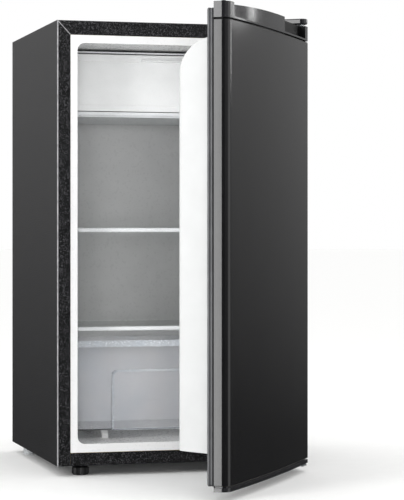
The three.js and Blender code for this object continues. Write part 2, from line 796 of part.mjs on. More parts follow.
place("upper_rack", rack(54, 610, 665), clearPlastic, door);
place("middle_rack", rack(54, 410, 470), clearPlastic, door);
place("bottle_rack", rack(60, 80, 185), clearPlastic, door);
const bar = roundedRectangle(48, 55, 214, 228, 3);
place("bottle_bar", prismX(bar, -156.5, 156.5), whitePlastic, door);

// The origin is on the floor, under the middle of the whole fridge as it stands at rest.
fridge.updateMatrixWorld(true);
const bounds = new THREE.Box3().setFromObject(fridge, true);
const centre = bounds.getCenter(new THREE.Vector3());
fridge.position.set(-centre.x, -centre.y, -bounds.min.z);

export default fridge;
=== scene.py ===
import json
import math

import bmesh
import bpy
from mathutils import Matrix, Vector

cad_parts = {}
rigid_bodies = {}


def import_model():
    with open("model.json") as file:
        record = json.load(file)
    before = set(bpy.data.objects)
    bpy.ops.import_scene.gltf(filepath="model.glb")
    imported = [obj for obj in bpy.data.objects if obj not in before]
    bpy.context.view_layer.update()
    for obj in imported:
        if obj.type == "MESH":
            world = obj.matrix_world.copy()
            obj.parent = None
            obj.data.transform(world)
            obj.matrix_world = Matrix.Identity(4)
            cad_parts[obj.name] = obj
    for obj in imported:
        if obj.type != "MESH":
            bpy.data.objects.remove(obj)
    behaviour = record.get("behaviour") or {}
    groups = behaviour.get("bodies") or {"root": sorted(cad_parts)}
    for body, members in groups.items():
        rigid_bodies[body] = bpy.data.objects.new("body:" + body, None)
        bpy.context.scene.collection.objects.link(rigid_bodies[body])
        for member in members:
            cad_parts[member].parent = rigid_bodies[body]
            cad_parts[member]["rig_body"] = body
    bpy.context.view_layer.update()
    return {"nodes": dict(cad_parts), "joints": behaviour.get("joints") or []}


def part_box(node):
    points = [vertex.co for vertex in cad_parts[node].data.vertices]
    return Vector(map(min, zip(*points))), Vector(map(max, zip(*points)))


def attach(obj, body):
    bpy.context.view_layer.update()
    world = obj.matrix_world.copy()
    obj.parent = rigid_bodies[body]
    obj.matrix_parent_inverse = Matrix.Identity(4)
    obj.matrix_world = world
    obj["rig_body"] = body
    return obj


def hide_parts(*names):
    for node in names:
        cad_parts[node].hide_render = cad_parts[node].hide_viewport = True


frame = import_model()
print("frame loaded:", len(frame["nodes"]), "nodes")

# Every piece is drawn in millimetres in the cabinet's own axes: X from its middle, Y from its
# front plane, Z from the floor. The door is drawn shut and turned to its rest angle at the end.
mm = 0.001
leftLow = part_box("side_panel_left")[0]
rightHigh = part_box("side_panel_right")[1]
cabinetPlace = Matrix.Translation(((leftLow.x + rightHigh.x) / 2, leftLow.y, 0))
joints = {joint["name"]: joint for joint in frame["joints"]}
hingePoint = Vector(joints["door_hinge"]["pos_m"])
restAngle = math.radians(-joints["door_hinge"]["range_deg"][0])
doorPlace = (
    Matrix.Translation(hingePoint)
    @ Matrix.Rotation(restAngle, 4, "Z")
    @ Matrix.Translation(-hingePoint)
    @ cabinetPlace
)

cabinet = {
    "halfWidth": 230,
    "depth": 455,
    "bottom": 19,
    "top": 824,
    "sheet": 1.2,
    "bend": 3,  # outside radius of a bent edge
    "flangeSide": 24.4,
    "flangeTop": 26,
    "flangeBottom": 23.6,
    "rearFlange": 14,
    "mitreGap": 0.5,
}
half = cabinet["halfWidth"]
rimHalf = half - cabinet["flangeSide"]
rimTop = cabinet["top"] - cabinet["flangeTop"]
rimBottom = cabinet["bottom"] + cabinet["flangeBottom"]


# Shapes

def arc(cx, cy, radius, start, end, steps):
    points = []
    for i in range(steps + 1):
        angle = math.radians(start + (end - start) * i / steps)
        points.append((cx + radius * math.cos(angle), cy + radius * math.sin(angle)))
    return points


def curveThrough(a, control, b, steps):
    # a quadratic curve from a to b, pulled towards control
    points = []
    for i in range(steps + 1):
        t = i / steps
        u = 1 - t
        points.append(tuple(u * u * a[k] + 2 * u * t * control[k] + t * t * b[k] for k in (0, 1)))
    return points


def rounded(corners, radius, steps=5):
    # the outline through these corners, each one turned into an arc; radius is one number or a list
    radii = radius if isinstance(radius, (list, tuple)) else [radius] * len(corners)
    outline = []
    count = len(corners)
    for i, corner in enumerate(corners):
        here = Vector(corner)
        back = Vector(corners[i - 1]) - here
        ahead = Vector(corners[(i + 1) % count]) - here
        r = radii[i]
        if r <= 0:
            outline.append(tuple(here))
            continue
        angle = back.angle(ahead)
        reach = min(r / math.tan(angle / 2), back.length * 0.49, ahead.length * 0.49)
        first = here + back.normalized() * reach
        last = here + ahead.normalized() * reach
        outline += curveThrough(first, here, last, steps)
    return outline


def rectangle(a0, a1, b0, b1, radius, steps=6):
    outline = arc(a1 - radius, b0 + radius, radius, -90, 0, steps)
    outline += arc(a1 - radius, b1 - radius, radius, 0, 90, steps)
    outline += arc(a0 + radius, b1 - radius, radius, 90, 180, steps)
    outline += arc(a0 + radius, b0 + radius, radius, 180, 270, steps)
    return outline


def inScene(name, data):
    obj = bpy.data.objects.new(name, data)
    bpy.context.scene.collection.objects.link(obj)
    return obj


def newObject(name, bm):
    bmesh.ops.remove_doubles(bm, verts=bm.verts, dist=1e-7)
    bmesh.ops.recalc_face_normals(bm, faces=bm.faces)
    mesh = bpy.data.meshes.new(name)
    bm.to_mesh(mesh)
    bm.free()
    return inScene(name, mesh)


def evaluated(obj):
    # the object's mesh as it is with its modifiers or bevel applied
    return bpy.data.meshes.new_from_object(obj.evaluated_get(bpy.context.evaluated_depsgraph_get()))


def meshFrom(name, data):
    # a curve or a line of figures as a mesh
    holder = inScene(name, data)
    mesh = evaluated(holder)
    bpy.data.objects.remove(holder)
    bpy.data.curves.remove(data)
    return inScene(name, mesh)


def prism(outline, low, high, axis):
    # the outline is (Y, Z) for axis X, (X, Z) for axis Y and (X, Y) for axis Z
    spots = {
        "X": lambda a, b, c: (c, a, b),
        "Y": lambda a, b, c: (a, c, b),
        "Z": lambda a, b, c: (a, b, c),
    }[axis]
    bm = bmesh.new()
    rings = []
    for level in (low, high):
        ring = [bm.verts.new(Vector(spots(a, b, level)) * mm) for a, b in outline]
        rings.append(ring)
    count = len(outline)
    for i in range(count):
        j = (i + 1) % count
        bm.faces.new((rings[0][i], rings[0][j], rings[1][j], rings[1][i]))
    bm.faces.new(rings[0])
    bm.faces.new(rings[1])
    return newObject("prism", bm)


def block(x0, x1, y0, y1, z0, z1):
    return prism([(x0, y0), (x1, y0), (x1, y1), (x0, y1)], z0, z1, "Z")


def turned(profile, centre, axis="Z", steps=48, ripple=None):
    # profile is (radius, height) along the axis; ripple(step, radius, height) scales a radius
    bm = bmesh.new()
    rings = []
    cx, cy, cz = centre
    for i in range(steps):
        angle = 2 * math.pi * i / steps
        ring = []
        for radius, height in profile:
            r = radius * (ripple(i, radius, height) if ripple else 1)
            a, b = r * math.cos(angle), r * math.sin(angle)
            spot = {
                "X": (cx + height, cy + a, cz + b),
                "Y": (cx + a, cy + height, cz + b),
                "Z": (cx + a, cy + b, cz + height),
            }[axis]
            ring.append(bm.verts.new(Vector(spot) * mm))
        rings.append(ring)
    for i in range(steps):
        here, there = rings[i], rings[(i + 1) % steps]
        for k in range(len(profile) - 1):
            bm.faces.new((here[k], there[k], there[k + 1], here[k + 1]))
    return newObject("turned", bm)


def tubeAlong(points, radius, name):
    # a round tube through the points, as a mesh made from a bevelled curve
    data = bpy.data.curves.new(name, "CURVE")
    data.dimensions = "3D"
    data.bevel_depth = radius * mm
    data.bevel_resolution = 4
    data.resolution_u = 8
    data.use_fill_caps = True
    spline = data.splines.new("BEZIER")
    spline.bezier_points.add(len(points) - 1)
    for spot, point in zip(spline.bezier_points, points):
        spot.co = Vector(point) * mm
        spot.handle_left_type = spot.handle_right_type = "AUTO"
    return meshFrom(name, data)


def settle(obj):
    # applies the object's modifiers to its mesh
    bpy.context.view_layer.update()
    made = evaluated(obj)
    old = obj.data
    obj.modifiers.clear()
    obj.data = made
    bpy.data.meshes.remove(old)
    return obj


def combine(operation, target, *tools):
    for tool in tools:
        modifier = target.modifiers.new("combine", "BOOLEAN")
        modifier.operation = operation
        modifier.solver = "EXACT"
        modifier.object = tool
    settle(target)
    for tool in tools:
        old = tool.data
        bpy.data.objects.remove(tool)
        bpy.data.meshes.remove(old)
    return target


def joined(target, *tools):
    return combine("UNION", target, *tools)


def cut(target, *tools):
    return combine("DIFFERENCE", target, *tools)


def common(target, *tools):
    return combine("INTERSECT", target, *tools)


def drill(obj, radius, low, high, spot, steps=32):
    # a round hole along Z, from low to high about the spot
    cut(obj, turned([(0, low), (radius, low), (radius, high), (0, high)], spot, "Z", steps))


def copyOf(node):
    # a CAD node's shape as a new mesh, its flat faces made whole, back in the cabinet's axes
    source = frame["nodes"][node]
    bm = bmesh.new()
    bm.from_mesh(source.data)
    bmesh.ops.remove_doubles(bm, verts=bm.verts, dist=1e-6)
    bmesh.ops.dissolve_limit(bm, angle_limit=math.radians(0.5), verts=bm.verts, edges=bm.edges)
    place = doorPlace if source["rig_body"] == "door" else cabinetPlace
    bm.transform(place.inverted())
    return newObject(node, bm)


def soften(obj, width, segments=3, angle=35):
    # rounds the edges that are sharper than angle
    bevel = obj.modifiers.new("soften", "BEVEL")
    bevel.width = width * mm
    bevel.segments = segments
    bevel.limit_method = "ANGLE"
    bevel.angle_limit = math.radians(angle)
    bevel.use_clamp_overlap = True
    bevel.miter_outer = "MITER_ARC"
    return settle(obj)


def paint(obj, material, chosen):
    # a second finish on the faces where chosen(centre, normal), in millimetres, is true
    if not obj.data.materials:
        obj.data.materials.append(None)
    obj.data.materials.append(material)
    index = len(obj.data.materials) - 1
    for face in obj.data.polygons:
        if chosen(face.center / mm, face.normal):
            face.material_index = index


def piece(obj, name, material, body, nodes=(), smoothAngle=32):
    # gives a drawn shape its name, place, finish and body
    obj.name = name
    obj.data.name = name
    place = doorPlace if body == "door" else cabinetPlace
    obj.data.transform(place)
    if obj.data.materials:
        obj.data.materials[0] = material
    else:
        obj.data.materials.append(material)
    obj.data.shade_smooth()
    obj.data.set_sharp_from_angle(angle=math.radians(smoothAngle))
    weighted = obj.modifiers.new("normals", "WEIGHTED_NORMAL")
    weighted.keep_sharp = True
    settle(obj)
    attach(obj, body)
    if nodes:
        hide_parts(*nodes)


# Materials

def linear(code):
    # an sRGB hex colour as linear light
    values = [int(code[i : i + 2], 16) / 255 for i in (1, 3, 5)]
    return tuple(v / 12.92 if v <= 0.04045 else ((v + 0.055) / 1.055) ** 2.4 for v in values) + (1,)


def addNode(tree, kind, settings=None, links=None):
    # settings are properties or socket values; links are input name to another node's output
    node = tree.nodes.new(kind)
    for key, value in (settings or {}).items():
        if isinstance(key, str) and hasattr(node, key) and key not in node.inputs:
            setattr(node, key, value)
        else:
            node.inputs[key].default_value = value
    for key, output in (links or {}).items():
        tree.links.new(output, node.inputs[key])
    return node


def perMillimetre(size):
    # the texture scale that makes one feature about this many millimetres wide
    return 1 / (size * mm)


def newMaterial(name, roughness, **sockets):
    material = bpy.data.materials.new(name)
    material.use_nodes = True
    shader = material.node_tree.nodes["Principled BSDF"]
    shader.inputs["Roughness"].default_value = roughness
    for key, value in sockets.items():
        shader.inputs[key].default_value = value
    addNode(material.node_tree, "ShaderNodeTexCoord")
    return material


def pieceSpace(material):
    return material.node_tree.nodes["Texture Coordinate"].outputs["Object"]


def noise(material, size, detail, where=None, **more):
    # a soft random pattern with features about size millimetres wide
    settings = {"Scale": perMillimetre(size), "Detail": detail, **more}
    links = {"Vector": where or pieceSpace(material)}
    return addNode(material.node_tree, "ShaderNodeTexNoise", settings, links).outputs["Fac"]


def cells(material, size, **more):
    # a pattern of cells about size millimetres wide
    settings = {**more, "Scale": perMillimetre(size)}
    links = {"Vector": pieceSpace(material)}
    return addNode(material.node_tree, "ShaderNodeTexVoronoi", settings, links).outputs


def shade(material, pattern, socket, low, high, start=0.3, end=0.7):
    # a pattern between start and end goes from low to high, two colours or two numbers, in a socket
    tree = material.node_tree
    ramp = addNode(tree, "ShaderNodeValToRGB", links={"Fac": pattern})
    for element, value in zip(ramp.color_ramp.elements, (low, high)):
        element.color = linear(value) if isinstance(value, str) else (value, value, value, 1)
    ramp.color_ramp.elements[0].position = start
    ramp.color_ramp.elements[1].position = end
    tree.links.new(ramp.outputs["Color"], tree.nodes["Principled BSDF"].inputs[socket])


def bump(material, height, depth, strength=1.0):
    # height is 0 to 1 and depth is its size in millimetres
    tree = material.node_tree
    settings = {"Strength": strength, "Distance": depth * mm}
    node = addNode(tree, "ShaderNodeBump", settings, {"Height": height})
    tree.links.new(node.outputs["Normal"], tree.nodes["Principled BSDF"].inputs["Normal"])


def pressedPaintedSteel():
    # painted sheet steel pressed with a leather grain: near black, with light flecks painted into its
    # colour as glints on the pebbles
    grain = 1.9  # mm; the real grain is about 1 mm, drawn coarser so that it shows
    material = newMaterial("pressedPaintedSteel", 0.34, IOR=1.32)
    pebbles = cells(material, grain, feature="SMOOTH_F1", Smoothness=0.5, Randomness=1.0)
    paintedGlints = noise(material, grain, 3.0, Roughness=0.7)
    shade(material, paintedGlints, "Base Color", "#070708", "#68686b", 0.52, 0.74)
    shade(material, paintedGlints, "Roughness", 0.38, 0.3)
    bump(material, pebbles["Distance"], 0.45, 0.6)
    return material


def stretchedPaint():
    # a painted highlight for folded edges: the same paint made light grey and smoother, so the edge reads
    # bright
    material = newMaterial("stretchedPaint", 0.28, IOR=1.5)
    highlightMottle = noise(material, 9, 3.0)
    shade(material, highlightMottle, "Base Color", "#77777a", "#98989a")
    shade(material, highlightMottle, "Roughness", 0.24, 0.34)
    return material


def satinPaintedSteel():
    # smooth roller-coated steel: a satin charcoal face with a faint waviness in its reflections
    material = newMaterial("satinPaintedSteel", 0.14, IOR=1.5)
    wide = noise(material, 60, 3.0)
    fine = noise(material, 4, 2.0)
    shade(material, wide, "Base Color", "#0e0e0f", "#111112")
    shade(material, fine, "Roughness", 0.12, 0.16)
    bump(material, fine, 0.008, 0.3)
    return material


def glossAbs():
    # injection-moulded grey ABS: a clear gloss with a soft orange peel
    material = newMaterial("glossAbs", 0.1, IOR=1.53)
    peel = noise(material, 7, 2.0)
    shade(material, peel, "Base Color", "#18181a", "#1c1c1e")
    shade(material, peel, "Roughness", 0.08, 0.13)
    bump(material, peel, 0.01, 0.3)
    return material


def mouldedPlastic(name, dark, light, roughness, ior=1.5, grain=1.8, depth=0.03, **sockets):
    # moulded thermoplastic: an even colour with a slightly cloudy tone and a fine spark texture
    material = newMaterial(name, roughness, IOR=ior, **sockets)
    cloud = noise(material, 35, 3.0)
    fine = noise(material, grain, 3.0)
    shade(material, cloud, "Base Color", dark, light)
    shade(material, fine, "Roughness", roughness - 0.05, roughness + 0.06)
    bump(material, fine, depth, 0.5)
    return material


def polyurethaneFoam():
    # foamed in place: pale yellow, dull and full of small bubbles
    material = newMaterial("polyurethaneFoam", 0.95)
    bubbles = cells(material, 3)["Distance"]
    shade(material, bubbles, "Base Color", "#cdb377", "#e2d3a0")
    bump(material, bubbles, 0.4, 0.8)
    return material


def zincPlatedSteel():
    # galvanised sheet: cool grey with the large flat crystals of hot-dip zinc
    material = newMaterial("zincPlatedSteel", 0.4, Metallic=0.9)
    spangle = cells(material, 14)["Color"]
    shade(material, spangle, "Base Color", "#9a9ea1", "#b9bdbf")
    shade(material, spangle, "Roughness", 0.34, 0.5)
    return material


def rolledAluminium():
    # rolled sheet: fine straight rolling lines and a soft sheen
    material = newMaterial("rolledAluminium", 0.34, Metallic=1.0)
    links = {"Vector": pieceSpace(material)}
    stretch = addNode(material.node_tree, "ShaderNodeMapping", {"Scale": (0.05, 1.0, 1.0)}, links)
    lines = noise(material, 1.5, 3.0, stretch.outputs["Vector"])
    shade(material, lines, "Base Color", "#bcc1c4", "#d2d6d8")
    shade(material, lines, "Roughness", 0.28, 0.42)
    bump(material, lines, 0.03, 0.4)
    return material


def drawnCopper():
    # drawn tube: warm metal, dulled in patches by heat and handling
    material = newMaterial("drawnCopper", 0.3, Metallic=1.0)
    patches = noise(material, 12, 4.0)
    shade(material, patches, "Base Color", "#8e5630", "#c98656")
    shade(material, patches, "Roughness", 0.22, 0.45)
    return material


def bakedEnamel():
    # the compressor's baked black enamel: semi-gloss over a slightly rough pressed can
    material = newMaterial("bakedEnamel", 0.35, IOR=1.5)
    rough = noise(material, 5, 4.0)
    shade(material, rough, "Base Color", "#121213", "#1d1d1f")
    shade(material, rough, "Roughness", 0.3, 0.42)
    bump(material, rough, 0.1, 0.5)
    return material


def letLightThrough(material, share):
    # shadows of a clear thing stay light: share is how much of the light gets past
    tree = material.node_tree
    ray = addNode(tree, "ShaderNodeLightPath")
    amount = addNode(
        tree, "ShaderNodeMath", {"operation": "MULTIPLY", 1: share}, {0: ray.outputs["Is Shadow Ray"]}
    )
    clear = addNode(tree, "ShaderNodeBsdfTransparent")
    mix = addNode(
        tree, "ShaderNodeMixShader", None,
        {0: amount.outputs[0], 1: tree.nodes["Principled BSDF"].outputs[0], 2: clear.outputs[0]},
    )
    tree.links.new(mix.outputs[0], tree.nodes["Material Output"].inputs["Surface"])


def toughenedGlass():
    # soda-lime float glass: clear, so that what lies under the shelf shows through it
    material = newMaterial("toughenedGlass", 0.03, IOR=1.52, **{"Transmission Weight": 1.0})
    tint = noise(material, 120, 1.0)
    shade(material, tint, "Base Color", "#f0f8f6", "#f7fcfb")
    letLightThrough(material, 0.92)
    return material


def clearPolystyrene():
    # injection-moulded crystal polystyrene: clear and glossy, with faint flow marks
    material = newMaterial("clearPolystyrene", 0.05, IOR=1.3, **{"Transmission Weight": 0.93})
    flow = noise(material, 50, 2.0)
    shade(material, flow, "Base Color", "#f6f8fb", "#fdfdfe")
    bump(material, flow, 0.1, 0.3)
    letLightThrough(material, 0.9)
    return material


pressedSteel = pressedPaintedSteel()
edgeHighlight = stretchedPaint()
doorSteel = satinPaintedSteel()
capAbs = glossAbs()
blackPlastic = mouldedPlastic("blackPolypropylene", "#101011", "#19191a", 0.45)
linerHips = mouldedPlastic("vacuumFormedPolystyrene", "#d6d6d6", "#dbdbdb", 0.3, grain=5)
# the door liner's white polystyrene, made greyer as painted shade because the key light falls full on its
# walls
shadedDoorHips = mouldedPlastic("shadedDoorPolystyrene", "#b9baba", "#bdbebe", 0.34, grain=5)
whiteAbs = mouldedPlastic("whiteAbs", "#e4e6e8", "#eceef0", 0.26)
flapPolystyrene = mouldedPlastic("flapPolystyrene", "#f0f1f1", "#f5f6f6", 0.3)
# near-black, dull ABS as painted shade: in the cap's recess, its hinge end and seam groove, and on the
# gasket retainer
recessShadeAbs = mouldedPlastic("paintedShadeAbs", "#0a0a0b", "#111112", 0.5, 1.25, grain=2, depth=0.06)
greyAbs = mouldedPlastic("greyAbs", "#a9acae", "#bcbfc0", 0.42)
rubber = mouldedPlastic("mouldedRubber", "#161616", "#222222", 0.8, grain=3, depth=0.08)
gasketPvc = mouldedPlastic("extrudedSoftPvc", "#4c4d4f", "#5c5d5f", 0.5, grain=4, depth=0.05)
foam = polyurethaneFoam()
zincSteel = zincPlatedSteel()
aluminium = rolledAluminium()
copper = drawnCopper()
enamel = bakedEnamel()
glass = toughenedGlass()
clearPlastic = clearPolystyrene()
# clear polystyrene's rounded edges are painted pale as a highlight; glass edges are green, the colour
# glass shows along its width
clearEdgeHighlight = mouldedPlastic("polystyreneEdgeHighlight", "#dfe6ee", "#f2f6fa", 0.25, **{"Transmission Weight": 0.45})
glassEdge = mouldedPlastic("glassEdge", "#8fbfae", "#a9d3c4", 0.2, **{"Transmission Weight": 0.5})
print("materials made:", len(bpy.data.materials))


# Camera and light

studio = {
    "eye": (-956.3, -3568, 442.75),  # in the cabinet's axes
    "turn": 15.613,  # degrees to the right of straight on
    "lens": 145.16,
    "shift": -0.0373,
    "fill": 1.03,  # the room as a light on dull surfaces
    "roomLow": 0.045,  # the room as glossy faces mirror it, near the floor and above it
    "roomHigh": 0.84,
    "roomRise": (-0.1, 0.36),  # the part of a direction's height over which the room grows light
    "flagX": (-0.2, 0.1),  # where the dark flag fades out, across and towards the back
    "flagY": (-0.6, -0.2),
}
# place and target in metres, width and height in metres, watts
lights = {
    "keyLight": ((-2.41, -1.9, 0.6), (-0.04, -0.4, 0.6), 0.9, 3.4, 68),
    "frontLight": ((-1.1, -4.3, 0.5), (-0.05, 0.2, 0.45), 1.2, 0.8, 48),
    "stripLight": ((2.63, 0.45, 1.35), (-0.04, -0.4, 0.8), 0.42, 0.9, 9),
    "gripLight": ((2.39, 1.04, 1.21), (0.04, -0.29, 0.8), 0.14, 0.26, 0.4),
    "rightFill": ((2.6, -1.5, 0.6), (-0.04, -0.4, 0.6), 2.4, 3.4, 24),
    "topLight": ((-0.2, -0.4, 3.2), (0, 0, 0.4), 2.2, 2.2, 6),
}


def makeCamera():
    data = bpy.data.cameras.new("camera")
    data.sensor_width = 36
    data.lens = studio["lens"]
    data.shift_y = studio["shift"]
    data.clip_end = 50
    obj = inScene("camera", data)
    obj.location = cabinetPlace @ (Vector(studio["eye"]) * mm)
    obj.rotation_euler = (math.radians(90), 0, math.radians(-studio["turn"]))
    bpy.context.scene.camera = obj


def areaLight(name, place, target, wide, tall, power):
    data = bpy.data.lights.new(name, "AREA")
    data.shape = "RECTANGLE"
    data.size = wide
    data.size_y = tall
    data.energy = power
    obj = inScene(name, data)
    obj.location = place
    direction = Vector(target) - Vector(place)
    obj.rotation_euler = direction.to_track_quat("-Z", "Y").to_euler()
    return obj


def fade(tree, value, start, end, low=0.0, high=1.0):
    settings = {"From Min": start, "From Max": end, "To Min": low, "To Max": high}
    return addNode(tree, "ShaderNodeMapRange", settings, {"Value": value}).outputs["Result"]


def backdrop(tree, strength):
    return addNode(tree, "ShaderNodeBackground", {"Color": (1, 1, 1, 1), "Strength": strength})


def makeWorld():
    world = bpy.data.worlds.new("studio")
    bpy.context.scene.world = world
    world.use_nodes = True
    tree = world.node_tree
    tree.nodes.clear()
    # white to the eye and to dull surfaces; glossy ones mirror a darker room, dimmer near its floor
    ray = addNode(tree, "ShaderNodeLightPath")
    where = addNode(tree, "ShaderNodeTexCoord")
    split = addNode(tree, "ShaderNodeSeparateXYZ", None, {"Vector": where.outputs["Generated"]})
    height = fade(tree, split.outputs["Z"], *studio["roomRise"], studio["roomLow"], studio["roomHigh"])
    white = backdrop(tree, 1.0)
    fill = backdrop(tree, studio["fill"])
    # a dark flag stands beside the camera, between the key light and the open right side
    right = fade(tree, split.outputs["X"], *studio["flagX"])
    behind = fade(tree, split.outputs["Y"], *studio["flagY"])
    clear = addNode(tree, "ShaderNodeMath", {"operation": "MAXIMUM"}, {0: right, 1: behind})
    strength = addNode(
        tree, "ShaderNodeMath", {"operation": "MULTIPLY"}, {0: height, 1: clear.outputs["Value"]}
    )
    room = backdrop(tree, 0.0)
    tree.links.new(strength.outputs["Value"], room.inputs["Strength"])
    dull = addNode(
        tree, "ShaderNodeMixShader", None,
        {0: ray.outputs["Is Glossy Ray"], 1: fill.outputs[0], 2: room.outputs[0]},
    )
    mix = addNode(
        tree, "ShaderNodeMixShader", None,
        {0: ray.outputs["Is Camera Ray"], 1: dull.outputs[0], 2: white.outputs[0]},
    )
    addNode(tree, "ShaderNodeOutputWorld", None, {"Surface": mix.outputs[0]})


def makeStudio():
    bpy.context.scene.view_settings.view_transform = "Standard"
    makeWorld()
    bm = bmesh.new()
    bmesh.ops.create_grid(bm, x_segments=8, y_segments=8, size=60)
    floor = newObject("floor", bm)
    floor.data.materials.append(mouldedPlastic("paperFloor", "#fbfbfa", "#fdfdfc", 0.9, grain=6))
    floor.visible_glossy = False  # the dark faces of the fridge shouldn't mirror it
    for name, look in lights.items():
        obj = areaLight(name, *look)
        obj.visible_glossy = name != "frontLight"


makeCamera()
makeStudio()
print("camera and studio ready")


# Cabinet

def mitreWedge(side, shift, above):
    # all that lies above the mitre, or below it, at one front corner
    slope = cabinet["flangeTop"] / cabinet["flangeSide"]
    over, beyond = 5, 12
    inner = rimHalf - shift - over
    outer = half - shift + over
    low = (side * inner, rimTop - over * slope)
    high = (side * outer, cabinet["top"] + over * slope)
    far = (side * inner, cabinet["top"] + beyond) if above else (side * outer, rimTop - beyond)
    return prism([low, high, far], -5, cabinet["sheet"] + 0.3, "Y")


def mitreBead(side, name):
    # the raw edge of the side sheet, turned over along the mitre, in the painted highlight finish
    a = Vector((side * (rimHalf + 0.4), rimTop + 0.4))
    b = Vector((side * (half - 1.5), cabinet["top"] - 1.5))
    across = Vector((a.y - b.y, b.x - a.x)).normalized() * 0.75
    outline = [tuple(a - across), tuple(b - across), tuple(b + across), tuple(a + across)]
    bead = soften(prism(outline, -0.35, 0.5, "Y"), 0.3, 3)
    piece(bead, name + "MitreBead", edgeHighlight, "cabinet")


def sidePanel(side):
    sheet, bend, depth = cabinet["sheet"], cabinet["bend"], cabinet["depth"]
    rear = half - cabinet["rearFlange"]
    corners = [
        (half, 0), (half, depth), (rear, depth), (rear, depth - sheet),
        (half - sheet, depth - sheet), (half - sheet, sheet), (rimHalf, sheet), (rimHalf, 0),
    ]
    radii = [bend, bend, 0.5, 0.5, bend - sheet, bend - sheet, 0.5, 0.5]
    profile = rounded([(side * x, y) for x, y in corners], radii, 6)
    obj = prism(profile, cabinet["bottom"], cabinet["top"], "Z")
    cut(
        obj,
        mitreWedge(side, 0, True),
        block(-half + sheet + 0.3, half - sheet - 0.3, depth - 3, depth + 5,
              cabinet["top"] - sheet - 0.3, cabinet["top"] + 5),
    )
    name = "right" if side > 0 else "left"
    soften(obj, 0.5, 2)
    # painted highlight on the fold: lighter, smoother paint on the bend faces
    paint(obj, edgeHighlight, lambda c, n: abs(c.x) > half - bend and c.y < bend and
          n.y < -0.1 and abs(n.x) > 0.1)
    piece(obj, name + "SidePanel", pressedSteel, "cabinet", ["side_panel_" + name])
    mitreBead(side, name)


def topPanel():
    sheet, bend, depth, top = (cabinet[k] for k in ("sheet", "bend", "depth", "top"))
    corners = [
        (0, rimTop), (0, top), (depth, top), (depth, top - sheet), (sheet, top - sheet),
        (sheet, rimTop),
    ]
    profile = rounded(corners, [0.5, bend, 0.5, 0.5, bend - sheet, 0.5], 6)
    inner = half - sheet - 0.3
    obj = cut(
        prism(profile, -inner, inner, "X"),
        mitreWedge(-1, cabinet["mitreGap"], False),
        mitreWedge(1, cabinet["mitreGap"], False),
    )
    piece(soften(obj, 0.5, 2), "topPanel", pressedSteel, "cabinet", ["top_panel"])


def bottomRail():
    obj = soften(copyOf("bottom_front_rail"), 0.4, 2)
    piece(obj, "bottomRail", pressedSteel, "cabinet", ["bottom_front_rail"])


def screw(name, spot, axis, radius):
    # a zinc-plated pan-head screw with a cross recess; axis points out of the surface it stands on
    cup = [(0, 1.9), (0.45, 1.8), (0.8, 1.35), (0.97, 0.7), (1, 0)]
    outward = 1 if axis[0] == "+" else -1
    profile = [(r * radius, outward * h * radius * 0.32) for r, h in cup]
    head = turned(profile + [(0, 0)], spot, axis[1], 24)
    arm, thick = radius * 0.55, radius * 0.16
    along = Vector((0, 1, 0) if axis[1] == "Y" else (0, 0, 1))
    x, y, z = Vector(spot) + outward * along * radius * 0.6
    for a, b in ((thick, arm), (arm, thick)):
        u, v, w = (a, thick * 2, b) if axis[1] == "Y" else (a, b, thick * 2)
        cut(head, block(x - u, x + u, y - v, y + v, z - w, z + w))
    piece(head, name, zincSteel, "cabinet")


def rearPanel():
    look = {"beads": 5, "beadHeight": 1.0, "beadWidth": 16, "beadInset": 40,
            "screws": 4, "screwX": 222, "screwInset": 25, "screwRadius": 3.6}
    low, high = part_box("rear_panel")
    inverse = cabinetPlace.inverted()
    low, high = (inverse @ low) / mm, (inverse @ high) / mm
    obj = prism(rectangle(low.x, high.x, low.z, high.z, 3), low.y, high.y, "Y")
    for i in range(look["beads"]):
        z = low.z + (high.z - low.z) * (i + 1) / (look["beads"] + 1)
        left, right, tall = low.x + look["beadInset"], high.x - look["beadInset"], look["beadWidth"] / 2
        bead = prism(rectangle(left, right, z - tall, z + tall, 7.5),
                     high.y - 0.4, high.y + look["beadHeight"], "Y")
        joined(obj, bead)
    piece(soften(obj, 0.6, 3), "rearPanel", pressedSteel, "cabinet", ["rear_panel"])
    for side in (-1, 1):
        for i in range(look["screws"]):
            inset = look["screwInset"]
            z = low.z + inset + (high.z - low.z - 2 * inset) * i / (look["screws"] - 1)
            spot = (side * look["screwX"], cabinet["depth"], z)
            name = f"rearScrew{'R' if side > 0 else 'L'}{i + 1}"
            screw(name, spot, "+Y", look["screwRadius"])


sidePanel(-1)
sidePanel(1)
topPanel()
bottomRail()
rearPanel()
print("cabinet skin made")


# Inner liner

liner = {
    "rimSide": 13,
    "rimTop": 14.5,
    "rimBottom": 15.5,
    "wall": 1.6,
    "corner": 14,
    "rear": 398,
    "stepY": 262,
    "stepZ": 256,
    "ribTops": [656.7, 548, 441.3, 350, 258.5],
    "ribDepth": 7.5,
    "runner": 120,
    "drain": (40, 388),
    "drainRadius": 4,
}
openHalf = rimHalf - liner["rimSide"]
floorZ = rimBottom + liner["rimBottom"]
ceilingZ = rimTop - liner["rimTop"]


def compartment(grow, front, soft):
    side = rounded(
        [
            (front, floorZ - grow), (liner["stepY"] + grow, floorZ - grow),
            (liner["stepY"] + grow, liner["stepZ"] - grow), (liner["rear"] + grow, liner["stepZ"] - grow),
            (liner["rear"] + grow, ceilingZ + grow), (front, ceilingZ + grow),
        ],
        [0, 14, 10, 12, 16, 0], 8,
    )
    wide = openHalf + grow
    obj = prism(side, -wide - 1, wide + 1, "X")
    face = rectangle(-wide, wide, floorZ - grow, ceilingZ + grow, liner["corner"] + grow, 10)
    common(obj, prism(face, front, liner["rear"] + grow + 1, "Y"))
    return soften(obj, 8, 4, 50) if soft else obj


